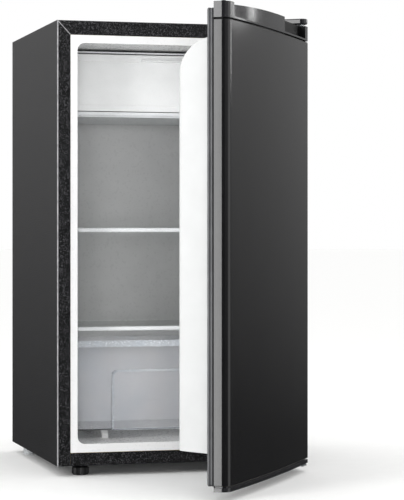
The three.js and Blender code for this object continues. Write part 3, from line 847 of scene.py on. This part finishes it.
def innerLiner():
    obj = joined(
        prism(rectangle(-rimHalf + 0.3, rimHalf - 0.3, rimBottom + 0.3, rimTop - 0.3, 1), 0.2, 1.8, "Y"),
        compartment(liner["wall"], 0.4, False),
    )
    cut(obj, compartment(0, -40, True))
    for side in (-1, 1):
        for top in liner["ribTops"]:
            wall, edge = side * (openHalf + 0.8), side * (openHalf - liner["ribDepth"])
            rib = prism(rounded([(wall, top - 4), (edge, top - 4), (edge, top), (wall, top)],
                                [0, 1.6, 1.2, 0], 4), 40, 390, "Y")
            joined(obj, rib)
        x = side * liner["runner"]
        foot = [(96, floorZ - 1), (255, floorZ - 1), (255, 72.7), (104, 72.7), (96, 66)]
        joined(obj, prism(foot, x - 6, x + 6, "X"))
    drill(obj, liner["drainRadius"], -6, 6, (*liner["drain"], liner["stepZ"]), 24)
    piece(soften(obj, 1.4, 3, 40), "innerLiner", linerHips, "cabinet", ["inner_liner"])


innerLiner()
print("inner liner made")


# Door

door = {
    "front": 41.5,
    "bow": 6.2,
    "back": -15,
    "corner": 13,
    "hingeFront": 44.7,
    "hingeCorner": 6,
    "skinBottom": 26,
    "skinTop": 790,
    "bottom": 16,
    "top": 820,
    "recess": 12,
    "blockEnd": -204,
    "postStart": 206,
    "gripEnd": 73,
    "gripThickness": 9,
    "lip": 6.5,
    "joint": 0.3,  # between the skin and each cap
    "seam": 3.2,  # the dark line between the skin and each cap
    "seamInset": 5,
    "flange": 0.7,  # closes the skin at the bottom of the seam
    "hinge": (222, -33.5),
    "bore": 5,
}


def doorOutline(inset, back, steps=24):
    side = half - inset
    r = max(door["corner"] - inset, 1)
    hingeR = max(door["hingeCorner"] - inset, 1)
    front = -(door["front"] - inset)
    hingeFront = -(door["hingeFront"] - inset)
    middle = (0, (front + hingeFront) / 2 - 2 * door["bow"])
    outline = [(side, back), (-side, back)]
    outline += arc(-side + r, front + r, r, 180, 270, 8)
    outline += curveThrough((-side + r, front), middle, (side - hingeR, hingeFront), steps)[1:-1]
    outline += arc(side - hingeR, hingeFront + hingeR, hingeR, 270, 360, 8)
    return outline


def doorSkin():
    obj = cut(
        prism(doorOutline(0, door["back"]), door["skinBottom"], door["skinTop"], "Z"),
        prism(doorOutline(cabinet["sheet"], door["back"] + 5), 20, 800, "Z"),
    )
    piece(soften(obj, 0.5, 2, 50), "doorSkin", doorSteel, "door", ["door_outer_panel"])


def gripWall():
    start, end = door["blockEnd"] - 1, door["gripEnd"]
    low, thick = door["skinTop"] + door["joint"], door["gripThickness"]
    plan = curveThrough((start, -33), (-90, -49.5), (end, -46), 24)
    plan += curveThrough((end, -46 + thick), (-90, -49.5 + thick), (start, -33 + thick), 24)
    top = door["top"]
    elevation = [(start, low), (end, low)]
    elevation += curveThrough((end, top + 3.5), (-80, top + 4), (start, top - 3), 20)
    return common(prism(plan, low, top + 6, "Z"), prism(elevation, -60, 0, "Y"))


def doorTopCap():
    bottom, top = door["skinTop"] + door["joint"], door["top"]
    lipTop = door["skinTop"] + door["lip"]
    recess = block(door["blockEnd"], door["postStart"], -60, door["back"] - 2, lipTop, top + 1)
    cut(recess, prism(doorOutline(door["recess"], door["back"] + 1), lipTop - 1, top + 2, "Z"))
    seam = door["seam"]
    obj = prism(doorOutline(0, door["back"]), bottom + seam, top, "Z")
    # the seam's dark groove has a thin flange as its floor, which closes the skin
    neck, flange = doorOutline(door["seamInset"], door["back"]), doorOutline(0.3, door["back"])
    joined(obj, prism(neck, bottom + 0.4, bottom + seam + 1, "Z"))
    joined(obj, prism(flange, bottom, bottom + door["flange"], "Z"))
    channel = block(door["blockEnd"] + 4, door["gripEnd"] - 4, -38, door["back"] - 5, 806, top + 1)
    cut(obj, recess, channel)
    joined(obj, gripWall())
    x, y = door["hinge"]
    drill(obj, door["bore"], -15, 2, (x, y, top))
    soften(obj, 1.3, 4, 38)
    # painted shade: the recess behind the grip, the hinge end and the seam groove get the near-black,
    # dull finish
    paint(obj, recessShadeAbs, lambda c, n: door["gripEnd"] < c.x < door["postStart"] + 1 and c.y > -42 and
          c.z > lipTop + 1 and n.z < 0.5 and n.y < 0.5)
    paint(obj, recessShadeAbs, lambda c, n: c.x > 222 and c.z > lipTop and n.x > 0.2 and n.y < 0.2)
    paint(obj, recessShadeAbs, lambda c, n: c.z < bottom + seam + 0.4)
    piece(obj, "doorTopCap", capAbs, "door", ["door_top_cap"])


def doorBottomCap():
    x, y = door["hinge"]
    top = door["skinBottom"] - door["joint"]
    obj = joined(
        prism(doorOutline(0, door["back"]), door["bottom"], top - door["seam"], "Z"),
        prism(doorOutline(door["seamInset"], door["back"]), top - door["seam"] - 1, top - 0.4, "Z"),
        prism(doorOutline(0.3, door["back"]), top - door["flange"], top, "Z"),
    )
    drill(obj, door["bore"], -2, 8, (x, y, door["bottom"]))
    piece(soften(obj, 1.2, 3, 38), "doorBottomCap", capAbs, "door", ["door_bottom_cap"])


def freeEndPlug():
    profile = [(0, 2.7), (2.2, 2.5), (3.8, 1.9), (4.8, 0.9), (5, 0.3), (0, 0.3)]
    obj = turned(profile, (-217, -28, door["top"]), "Z", 32)
    piece(obj, "freeEndPlug", blackPlastic, "door", ["free_end_plug"])


def doorLiner():
    look = {"plate": 226, "low": 22, "high": 812, "tip": 64, "foot": 72, "crown": 766.6, "curve": 66,
            "wallX": (189, 179, 160, 150), "field": (-140, 140, 96, 740), "fieldCorner": 16}

    def sideWall(side):
        corners = zip(look["wallX"], (-14.7, look["tip"], look["tip"], -14.7))
        plan = rounded([(side * x, y) for x, y in corners], [0, 6, 6, 0], 5)
        bend = look["crown"] - look["curve"]
        profile = [(-14.7, look["foot"])]
        profile += rounded([(look["tip"] - 8, look["foot"] + 3.5), (look["tip"], look["foot"] + 4),
                            (look["tip"], look["foot"] + 20)], [0, 4, 0], 5)
        profile += arc(look["tip"] - look["curve"], bend, look["curve"], 0, 90, 20)
        profile += [(-14.7, look["crown"])]
        wall = common(prism(plan, 0, 900, "Z"), prism(profile, -half, half, "X"))
        return soften(wall, 4.5, 4, 40)

    plate = rectangle(-look["plate"], look["plate"], look["low"], look["high"], 5)
    obj = prism(plate, -14.7, -13.2, "Y")
    joined(obj, sideWall(-1), sideWall(1))
    # a shallow raised field between the side walls, as a vacuum-formed sheet has
    field = prism(rectangle(*look["field"], look["fieldCorner"]), -14, -11.6, "Y")
    joined(obj, soften(field, 1.5, 3, 40))
    piece(soften(obj, 0.8, 2, 45), "doorLiner", shadedDoorHips, "door", ["door_liner"])


def frameSweep(section, a0, a1, b0, b1, radius):
    # a closed section carried round a rounded rectangle in X and Z; section is (inward, Y)
    path = rectangle(a0, a1, b0, b1, radius, 6)
    bm = bmesh.new()
    rings = []
    count = len(path)
    for i, (x, z) in enumerate(path):
        before, after = Vector(path[i - 1]), Vector(path[(i + 1) % count])
        along = (after - before).normalized()
        inward = Vector((-along.y, along.x))
        spots = [Vector((x + inward.x * u, y, z + inward.y * u)) for u, y in section]
        rings.append([bm.verts.new(spot * mm) for spot in spots])
    size = len(section)
    for i in range(count):
        here, there = rings[i], rings[(i + 1) % count]
        for k in range(size):
            m = (k + 1) % size
            bm.faces.new((here[k], here[m], there[m], there[k]))
    return newObject("sweep", bm)


def gasketRetainer():
    # its thin outer flange reaches the skin and hides the foam's edge; its near-black finish is painted
    # shade for the gap behind the gasket
    section = [
        (-3.2, -14.95), (4.4, -14.95), (4.4, -12.95), (0.2, -12.95), (-0.5, -13.6), (-0.5, -14.7),
        (-3.2, -14.7),
    ]
    obj = frameSweep(section, -226, 226, 22, 812, 5)
    piece(obj, "gasketRetainer", recessShadeAbs, "door")


def doorGasket():
    # bellows and magnet tube of an extruded seal, as one section
    section = [
        (3, -12.9), (15.5, -12.9), (15.5, -11.2), (13, -10.4), (15.6, -9), (16.4, -7.4), (14.6, -6),
        (16.8, -4.8), (17, -1.6), (16.2, -1), (1, -1), (0.2, -1.8), (0.2, -4.4), (2.4, -5.4),
        (2.8, -6.6), (0.4, -7.6), (0.4, -9.4), (3.2, -10.4), (3, -11.4),
    ]
    obj = frameSweep(section, -222, 222, 23, 811, 5)
    piece(obj, "doorGasket", gasketPvc, "door", ["door_gasket"], 28)


def roundedFace(centre, normal):
    # true where a face belongs to a softened edge and looks along none of the axes
    return max(abs(v) for v in normal) < 0.97


def rack(name, node, front, low, high):
    look = {"half": 147, "back": -12.9, "corner": 9, "wall": 2, "lip": 3, "lipWidth": 3.5}

    def plan(inset, corner):
        side = look["half"] - inset
        return rectangle(-side, side, look["back"] + inset, front - inset, corner)

    wall = look["wall"]
    obj = prism(plan(0, look["corner"]), low, high, "Z")
    cut(obj, prism(plan(wall, look["corner"] - wall), low + wall, high + 5, "Z"))
    lip = cut(
        prism(plan(0, look["corner"]), high - look["lip"], high, "Z"),
        prism(plan(look["lipWidth"], look["corner"] - look["lip"]), high - 5, high + 5, "Z"),
    )
    joined(obj, lip)
    soften(obj, 0.7, 2, 40)
    # painted highlight: the rounded edges are painted pale
    paint(obj, clearEdgeHighlight, roundedFace)
    piece(obj, name, clearPlastic, "door", [node])


def bottleBar():
    look = {"half": 156.5, "section": (48, 55, 214, 228), "corner": 3.2}
    profile = rectangle(*look["section"], look["corner"], 8)
    obj = prism(profile, -look["half"], look["half"], "X")
    piece(soften(obj, 0.8, 3, 50), "bottleBar", whiteAbs, "door", ["bottle_bar"])


doorSkin()
doorTopCap()
doorBottomCap()
freeEndPlug()
doorLiner()
gasketRetainer()
doorGasket()
rack("upperRack", "upper_rack", 54, 610, 665)
rack("middleRack", "middle_rack", 54, 410, 470)
rack("bottleRack", "bottle_rack", 60, 80, 185)
bottleBar()
print("door made")


# Freezer compartment

flap = {"half": 185.5, "y": 120, "thick": 4.5, "low": 668, "high": 774, "border": 11,
        "gripHalf": 45, "pinHalf": 190, "pinRadius": 2.4, "pinY": 122.2, "pinZ": 671}


def freezerFlap():
    side, y, thick, low, high = (flap[k] for k in ("half", "y", "thick", "low", "high"))
    obj = prism(rectangle(-side, side, low, high, 5), y, y + thick, "Y")
    # a raised border round a field that stands back
    inner = side - flap["border"]
    field = rectangle(-inner, inner, low + flap["border"], high - flap["border"] - 2, 6)
    cut(obj, soften(prism(field, y - 3, y + 1.2, "Y"), 1, 3))
    grip = rounded([(y - 9, high - 9), (y - 9, high - 12), (y + 1, high - 12.5), (y + 1, high - 8.5)],
                   [1.4, 1.4, 0, 0], 4)
    joined(obj, prism(grip, -flap["gripHalf"], flap["gripHalf"], "X"))
    end, radius = flap["pinHalf"], flap["pinRadius"]
    rod = [(0, -end), (radius, -end), (radius, end), (0, end)]
    joined(obj, turned(rod, (0, flap["pinY"], flap["pinZ"]), "X", 24))
    soften(obj, 0.7, 3, 40)
    piece(obj, "freezerFlap", flapPolystyrene, "freezer_flap", ["freezer_flap"])


def flapBrackets():
    for name in ("left", "right"):
        node = "flap_bracket_" + name
        bracket = soften(copyOf(node), 0.8, 3)
        piece(bracket, name + "FlapBracket", whiteAbs, "cabinet", [node])


def evaporator():
    obj = copyOf("evaporator_box")
    soften(obj, 1.2, 3)
    piece(obj, "evaporatorBox", aluminium, "cabinet", ["evaporator_box"])
    # the inflated channel of a roll-bond sheet, seen on the compartment's floor
    look = {"rows": 6, "front": 158, "pitch": 38, "half": 150, "radius": 4, "z": 673.9}
    quarterTurn = Matrix.Rotation(math.radians(90), 4, "Z")
    for row in range(look["rows"]):
        y = look["front"] + row * look["pitch"]
        ridge = prism(arc(0, 0, look["radius"], 0, 180, 10), -look["half"], look["half"], "Y")
        ridge.data.transform(Matrix.Translation((0, y * mm, look["z"] * mm)) @ quarterTurn)
        piece(ridge, f"evaporatorChannel{row + 1}", aluminium, "cabinet")


def flapStop():
    # a thin strip just above and behind the shut flap's top edge, which touches nothing
    look = {"half": 182, "y": (125.2, 127), "z": (776.6, 779.8)}
    obj = soften(block(-look["half"], look["half"], *look["y"], *look["z"]), 0.4, 2)
    piece(obj, "flapStop", whiteAbs, "cabinet")


def dripTray():
    # a shallow tray with a raised front edge that stands a little forward
    look = {
        "body": (-190, 190, 124, 386, 657, 664),
        "edge": (-186, 186, 118, 126, 660, 666.5),
        "inside": (-181, 181, 128, 384, 658.6, 670),
    }
    obj = joined(block(*look["body"]), block(*look["edge"]))
    cut(obj, soften(block(*look["inside"]), 0.8, 2))
    soften(obj, 0.5, 2, 50)
    piece(obj, "dripTray", whiteAbs, "drip_tray", ["drip_tray"])


freezerFlap()
flapBrackets()
evaporator()
flapStop()
dripTray()
print("freezer compartment made")


# Shelves, crisper and thermostat

shelf = {"half": 190.5, "front": 75, "rear": 385, "glass": 4, "depth": 15, "height": 7.4}


def shelves():
    for name, z in (("upper", 441.6), ("lower", 258.8)):
        front, height = shelf["front"], shelf["height"]
        nose = rounded(
            [
                (front, z), (front + 4, z), (front + 4, z + 4.3), (front + 15, z + 4.3),
                (front + 15, z + 5.4), (front + 6, z + height), (front, z + height),
            ],
            [1.6, 0.6, 0.5, 0.5, 0.8, 2, 3], 5,
        )
        obj = prism(nose, -shelf["half"], shelf["half"], "X")
        body = name + "_shelf"
        soften(obj, 0.8, 2, 50)
        piece(obj, name + "ShelfTrim", whiteAbs, body, [body + "_trim"])
        pane = block(-shelf["half"], shelf["half"], front + 4.3, shelf["rear"], z, z + shelf["glass"])
        soften(pane, 0.6, 3)
        paint(pane, glassEdge, lambda c, n: abs(n.z) < 0.5)
        piece(pane, name + "ShelfGlass", glass, body, [body + "_glass"])


def crisperDrawer():
    look = {"half": 184, "front": 95, "rear": 253, "low": 73, "high": 239.4, "wall": 2.2,
            "panelHalf": 109, "panelY": 83, "panelTop": 185}

    def body(inset, up):
        # the drawer as one solid, or its hollow when inset by the wall
        low = look["low"] + inset
        side = look["half"] - inset
        plan = rectangle(-side, side, look["front"] + inset, look["rear"] - inset, 8 - inset)
        tub = prism(plan, low, look["high"] + up, "Z")
        side = look["panelHalf"] - inset
        high = look["panelTop"] - inset
        face = rounded([(-side, low), (side, low), (side, high), (-side, high)],
                       [2, 2, 14 - inset, 14 - inset], 8)
        panel = prism(face, look["panelY"] + inset, look["front"] + 6, "Y")
        return joined(tub, soften(panel, 2.5 - inset / 2, 3, 50))

    obj = body(0, 0)
    rim = prism(rectangle(-look["half"] - 3, look["half"] + 3, look["front"] - 3, look["rear"] + 3, 9),
                look["high"] - 12, look["high"], "Z")
    joined(obj, rim)
    cut(obj, body(look["wall"], 5))
    soften(obj, 1.0, 2, 40)
    # painted highlight on the rounded edges and on the rim's front
    paint(obj, clearEdgeHighlight, lambda c, n: roundedFace(c, n) or (c.z > look["high"] - 13 and n.y < -0.5))
    piece(obj, "crisperDrawer", clearPlastic, "crisper", ["crisper_drawer"])


def thermostat():
    look = {"y": 195, "z": 600, "face": 172, "halfWidth": 46, "halfHeight": 26, "gripHalf": 15,
            "figures": 6, "sweep": 240, "figureSize": 6, "figureDepth": 0.15, "ringY": 23, "ringZ": 21.5}
    y, z, face = look["y"], look["z"], look["face"]
    wide, tall = look["halfWidth"], look["halfHeight"]
    housing = prism(rectangle(y - wide, y + wide, z - tall, z + tall, 8), face, openHalf - 0.3, "X")
    soften(housing, 2.5, 4)
    piece(housing, "thermostatHousing", whiteAbs, "cabinet", ["thermostat_housing"])
    rim = [(0, -7), (14.5, -7), (16.5, -6.3), (17.6, -4.5), (18, -0.3), (0, -0.3)]
    knob = turned(rim, (face, y, z), "X", 60, ripple=lambda i, r, h: 0.985 if i % 2 and r > 16 else 1)
    end = look["gripHalf"]
    grip = rounded([(y - 3, z - end), (y + 3, z - end), (y + 3, z + end), (y - 3, z + end)], 2.4, 5)
    joined(knob, soften(prism(grip, face - 15, face - 5, "X"), 1, 3))
    piece(knob, "thermostatKnob", greyAbs, "thermostat_knob", ["thermostat_knob"])
    for i in range(look["figures"]):
        angle = math.radians(look["sweep"] * (i / (look["figures"] - 1) - 0.5))
        data = bpy.data.curves.new("number", "FONT")
        data.body = str(i)
        data.size = look["figureSize"] * mm
        data.extrude = look["figureDepth"] * mm
        data.align_x, data.align_y = "CENTER", "CENTER"
        obj = meshFrom("number", data)
        # the housing's face looks towards -X, with the top of each figure upwards
        turn = Matrix(((0, 0, -1, 0), (-1, 0, 0, 0), (0, 1, 0, 0), (0, 0, 0, 1)))
        across, up = look["ringY"] * math.sin(angle), look["ringZ"] * math.cos(angle)
        spot = Vector((face - 0.1, y + across, z + up)) * mm
        obj.data.transform(Matrix.Translation(spot) @ turn)
        piece(obj, f"dialNumber{i}", greyAbs, "cabinet")


shelves()
crisperDrawer()
thermostat()
print("shelves, crisper and thermostat made")


# Feet and hinges

def feet():
    look = {"x": 181, "y": 30, "rearX": 207, "rearY": 392, "knurls": 60}
    front = [(0, 0), (12.5, 0), (13.5, 0.4), (15.2, 2), (15.5, 3), (15.5, 12.4), (15.1, 13.6),
             (13.2, 15.4), (4.2, 16.5), (4, 17), (4, 45), (3.2, 46), (0, 46)]
    rear = [(0, 0), (10.4, 0), (11.2, 0.6), (11.9, 2.2), (10.2, 18.2), (9.6, 18.7), (0, 18.7)]

    def knurl(i, radius, height):
        return 0.955 if i % 2 and radius > 14 else 1

    for name, side in (("left", -1), ("right", 1)):
        foot = turned(front, (side * look["x"], look["y"], 0), "Z", look["knurls"], knurl)
        node = "front_foot_" + name
        piece(foot, name + "FrontFoot", blackPlastic, node, [node], 20)
        pad = turned(rear, (side * look["rearX"], look["rearY"], 0), "Z", 40)
        piece(pad, name + "RearFoot", greyAbs, "cabinet", ["rear_foot_" + name])


bracket = {"left": 156, "right": 226, "front": 6, "back": 46, "eye": 8.5, "gap": 0.3, "thick": 3}


def bracketOutline(grow):
    x, y = door["hinge"]
    r = bracket["eye"] + grow
    back = bracket["back"] + grow
    outline = [(bracket["left"] - grow, back), (bracket["left"] - grow, bracket["front"] - grow)]
    outline += arc(x, y, r, -138, 0, 14)
    outline += [(x + r, bracket["front"]), (bracket["right"] + grow, back)]
    return outline


def zincPart(obj, name, node):
    piece(obj, name, zincSteel, "cabinet", [node])


def hinges():
    look = {"pinHole": 3.6, "upperPinRise": 4, "lowerPinZ": 11, "coverHeight": 10.5, "screwRadius": 3.6,
            "cornerScrews": (219, 8), "lowerScrewX": 217, "lowerScrewsY": (20, 42), "lowerScrewZ": 15.7}
    x, y = door["hinge"]
    top, radius = cabinet["top"], look["screwRadius"]
    foot = top + bracket["gap"]
    plate = prism(bracketOutline(0), foot, foot + bracket["thick"], "Z")
    drill(plate, look["pinHole"], -2, 6, (x, y, top), 24)
    zincPart(soften(plate, 0.5, 2), "upperHingeBracket", "upper_hinge_bracket")
    pin = [(0, -18), (2.6, -18), (3.2, -17), (3.2, -0.4), (5.3, -0.4), (5.5, 0), (5.5, 1), (4.8, 1.4),
           (0, 1.4)]
    zincPart(turned(pin, (x, y, top + look["upperPinRise"]), "Z", 32), "upperHingePin", "upper_hinge_pin")
    cover = soften(prism(bracketOutline(2.5), foot, top + look["coverHeight"], "Z"), 2.2, 5, 50)
    cut(cover, prism(bracketOutline(0.5), top - 1, top + 6, "Z"))
    piece(cover, "hingeCover", capAbs, "cabinet", ["hinge_cover"])
    zincPart(soften(copyOf("lower_hinge_bracket"), 0.6, 2), "lowerHingeBracket", "lower_hinge_bracket")
    pin = [(0, -2), (4.8, -2), (5.5, -1.4), (5.5, 0), (3.2, 0), (3.2, 11.4), (2.6, 12), (0, 12)]
    zincPart(turned(pin, (x, y, look["lowerPinZ"]), "Z", 32), "lowerHingePin", "lower_hinge_pin")
    screwX, screwY = look["cornerScrews"]
    for side, name in ((-1, "Left"), (1, "Right")):
        screw("cornerScrew" + name, (side * screwX, screwY, cabinet["bottom"]), "-Z", radius)
    for i, screwY in enumerate(look["lowerScrewsY"], 1):
        screw(f"lowerHingeScrew{i}", (look["lowerScrewX"], screwY, look["lowerScrewZ"]), "-Z", radius)


feet()
hinges()
print("feet and hinges made")


# Machine room at the lower rear

# the compressor's axis, the drier's axis, and the ceiling that the pipes reach
machine = {"x": -60, "y": 383, "drierX": 105, "drierY": 425, "ceiling": 203.5}


def compressor():
    x, y = machine["x"], machine["y"]
    can = rounded([(0, 32.3), (50, 32.3), (59, 40), (59, 88), (61.5, 90), (61.5, 97), (59, 99),
                   (59, 140), (50, 156), (24, 163), (0, 163)],
                  [0, 5, 6, 1, 1, 1, 1, 14, 18, 12, 0], 5)
    obj = turned(can, (x, y, 0), "Z", 72)
    piece(obj, "compressorCan", enamel, "cabinet", ["compressor_shell"])
    plate = soften(copyOf("compressor_mount_plate"), 0.6, 2)
    zincPart(plate, "compressorPlate", "compressor_mount_plate")
    look = {"boltX": 60, "boltY": 34, "boltZ": 32, "boltRadius": 5}
    profile = [(0, 21.7), (9.4, 21.7), (10, 22.4), (7.6, 24.4), (7.6, 25.4), (9.2, 27.2), (8.6, 28.7),
               (0, 28.7)]
    for i, (sx, sy) in enumerate([(-1, -1), (1, -1), (-1, 1), (1, 1)], 1):
        spotX, spotY = x + sx * look["boltX"], y + sy * look["boltY"]
        grommet = turned(profile, (spotX, spotY, 0), "Z", 32)
        piece(grommet, f"compressorGrommet{i}", rubber, "cabinet", [f"compressor_grommet_{i}"])
        spot = (spotX, spotY, look["boltZ"])
        screw(f"compressorBolt{i}", spot, "+Z", look["boltRadius"])
    relay = soften(copyOf("relay_cover"), 2.2, 4)
    piece(relay, "relayCover", blackPlastic, "cabinet", ["relay_cover"])


def pipework():
    x, y, up = machine["x"], machine["y"], machine["ceiling"]
    drierX, drierY = machine["drierX"], machine["drierY"]
    # each tube's route and its radius
    runs = {
        "discharge": ([(x - 59.6, y, 118), (x - 70, y, 119), (x - 78, y - 4, 130), (x - 78, y - 8, 160),
                       (x - 78, y - 8, up)], 2.5),
        "suction": ([(x - 43, y + 43, 112), (x - 49, y + 49, 113), (x - 56, y + 52, 125),
                     (x - 58, y + 52, 160), (x - 58, y + 52, up)], 4),
        "capillary": ([(drierX + across, drierY, z) for across, z in (
            (0, 57.6), (0, 52), (8, 44), (22, 44), (32, 54), (32, 120), (32, up))], 1.5),
    }
    for name, (points, radius) in runs.items():
        tube = tubeAlong(points, radius, name)
        piece(tube, name + "Tube", copper, "cabinet", [name + "_tube"])
    drier = rounded([(0, 58), (3, 58), (9.5, 68), (9.5, 148), (3, 158), (3, up), (0, up)],
                    [0, 1, 3, 3, 1, 0, 0], 5)
    obj = turned(drier, (drierX, drierY, 0), "Z", 36)
    piece(obj, "filterDrier", copper, "cabinet", ["filter_drier"])


def machineRoom():
    for node, name, material, slot, width in (
        ("machine_room_panel", "machineRoomPanel", zincSteel, "zinc_steel", 0.4),
        ("compressor_base", "compressorBase", zincSteel, "zinc_steel", 0.5),
        ("base_panel", "basePanel", zincSteel, "zinc_steel", 0.3),
        ("evaporation_tray", "evaporationTray", blackPlastic, "black_plastic", 0.7),
    ):
        piece(soften(copyOf(node), width, 2), name, material, "cabinet", [node])


def drainHose():
    # a corrugated hose, closed at both ends
    look = {"low": 177.4, "high": 254.1, "waves": 12, "pitch": 6.3, "inner": 4, "outer": 6, "crest": 6.3}
    low, high, inner, outer = (look[k] for k in ("low", "high", "inner", "outer"))
    profile = [(inner, low)]
    for wave in range(look["waves"]):
        foot = low + wave * look["pitch"]
        profile += [(outer, foot), (look["crest"], foot + 2), (outer, foot + 4)]
    profile += [(outer, high), (inner, high), (inner, low)]
    obj = turned(profile, (*liner["drain"], 0), "Z", 28)
    piece(obj, "drainHose", greyAbs, "cabinet", ["drain_hose"])


def cordGland():
    look = {"spot": (150, 453.5, 36)}
    profile = [(0, -8), (8.4, -8), (9, -7.2), (9, -2.9), (7.1, -2.7), (7.1, 0.3), (10, 0.3),
               (10, 2.6), (9, 4), (5, 4), (4.2, 3), (0, 2.4)]
    obj = turned(profile, look["spot"], "Y", 36)
    piece(obj, "cordGland", blackPlastic, "cabinet", ["cord_gland"])


compressor()
pipework()
machineRoom()
drainHose()
cordGland()
print("machine room made")


# CAD nodes that keep their own shape: the hidden foam and the two bushes

def finishCadNodes():
    for node, material in (
        ("insulation_foam", foam),
        ("door_foam", foam),
        ("upper_hinge_bush", whiteAbs),
        ("lower_hinge_bush", whiteAbs),
    ):
        mesh = frame["nodes"][node].data
        mesh.materials.clear()
        mesh.materials.append(material)


finishCadNodes()
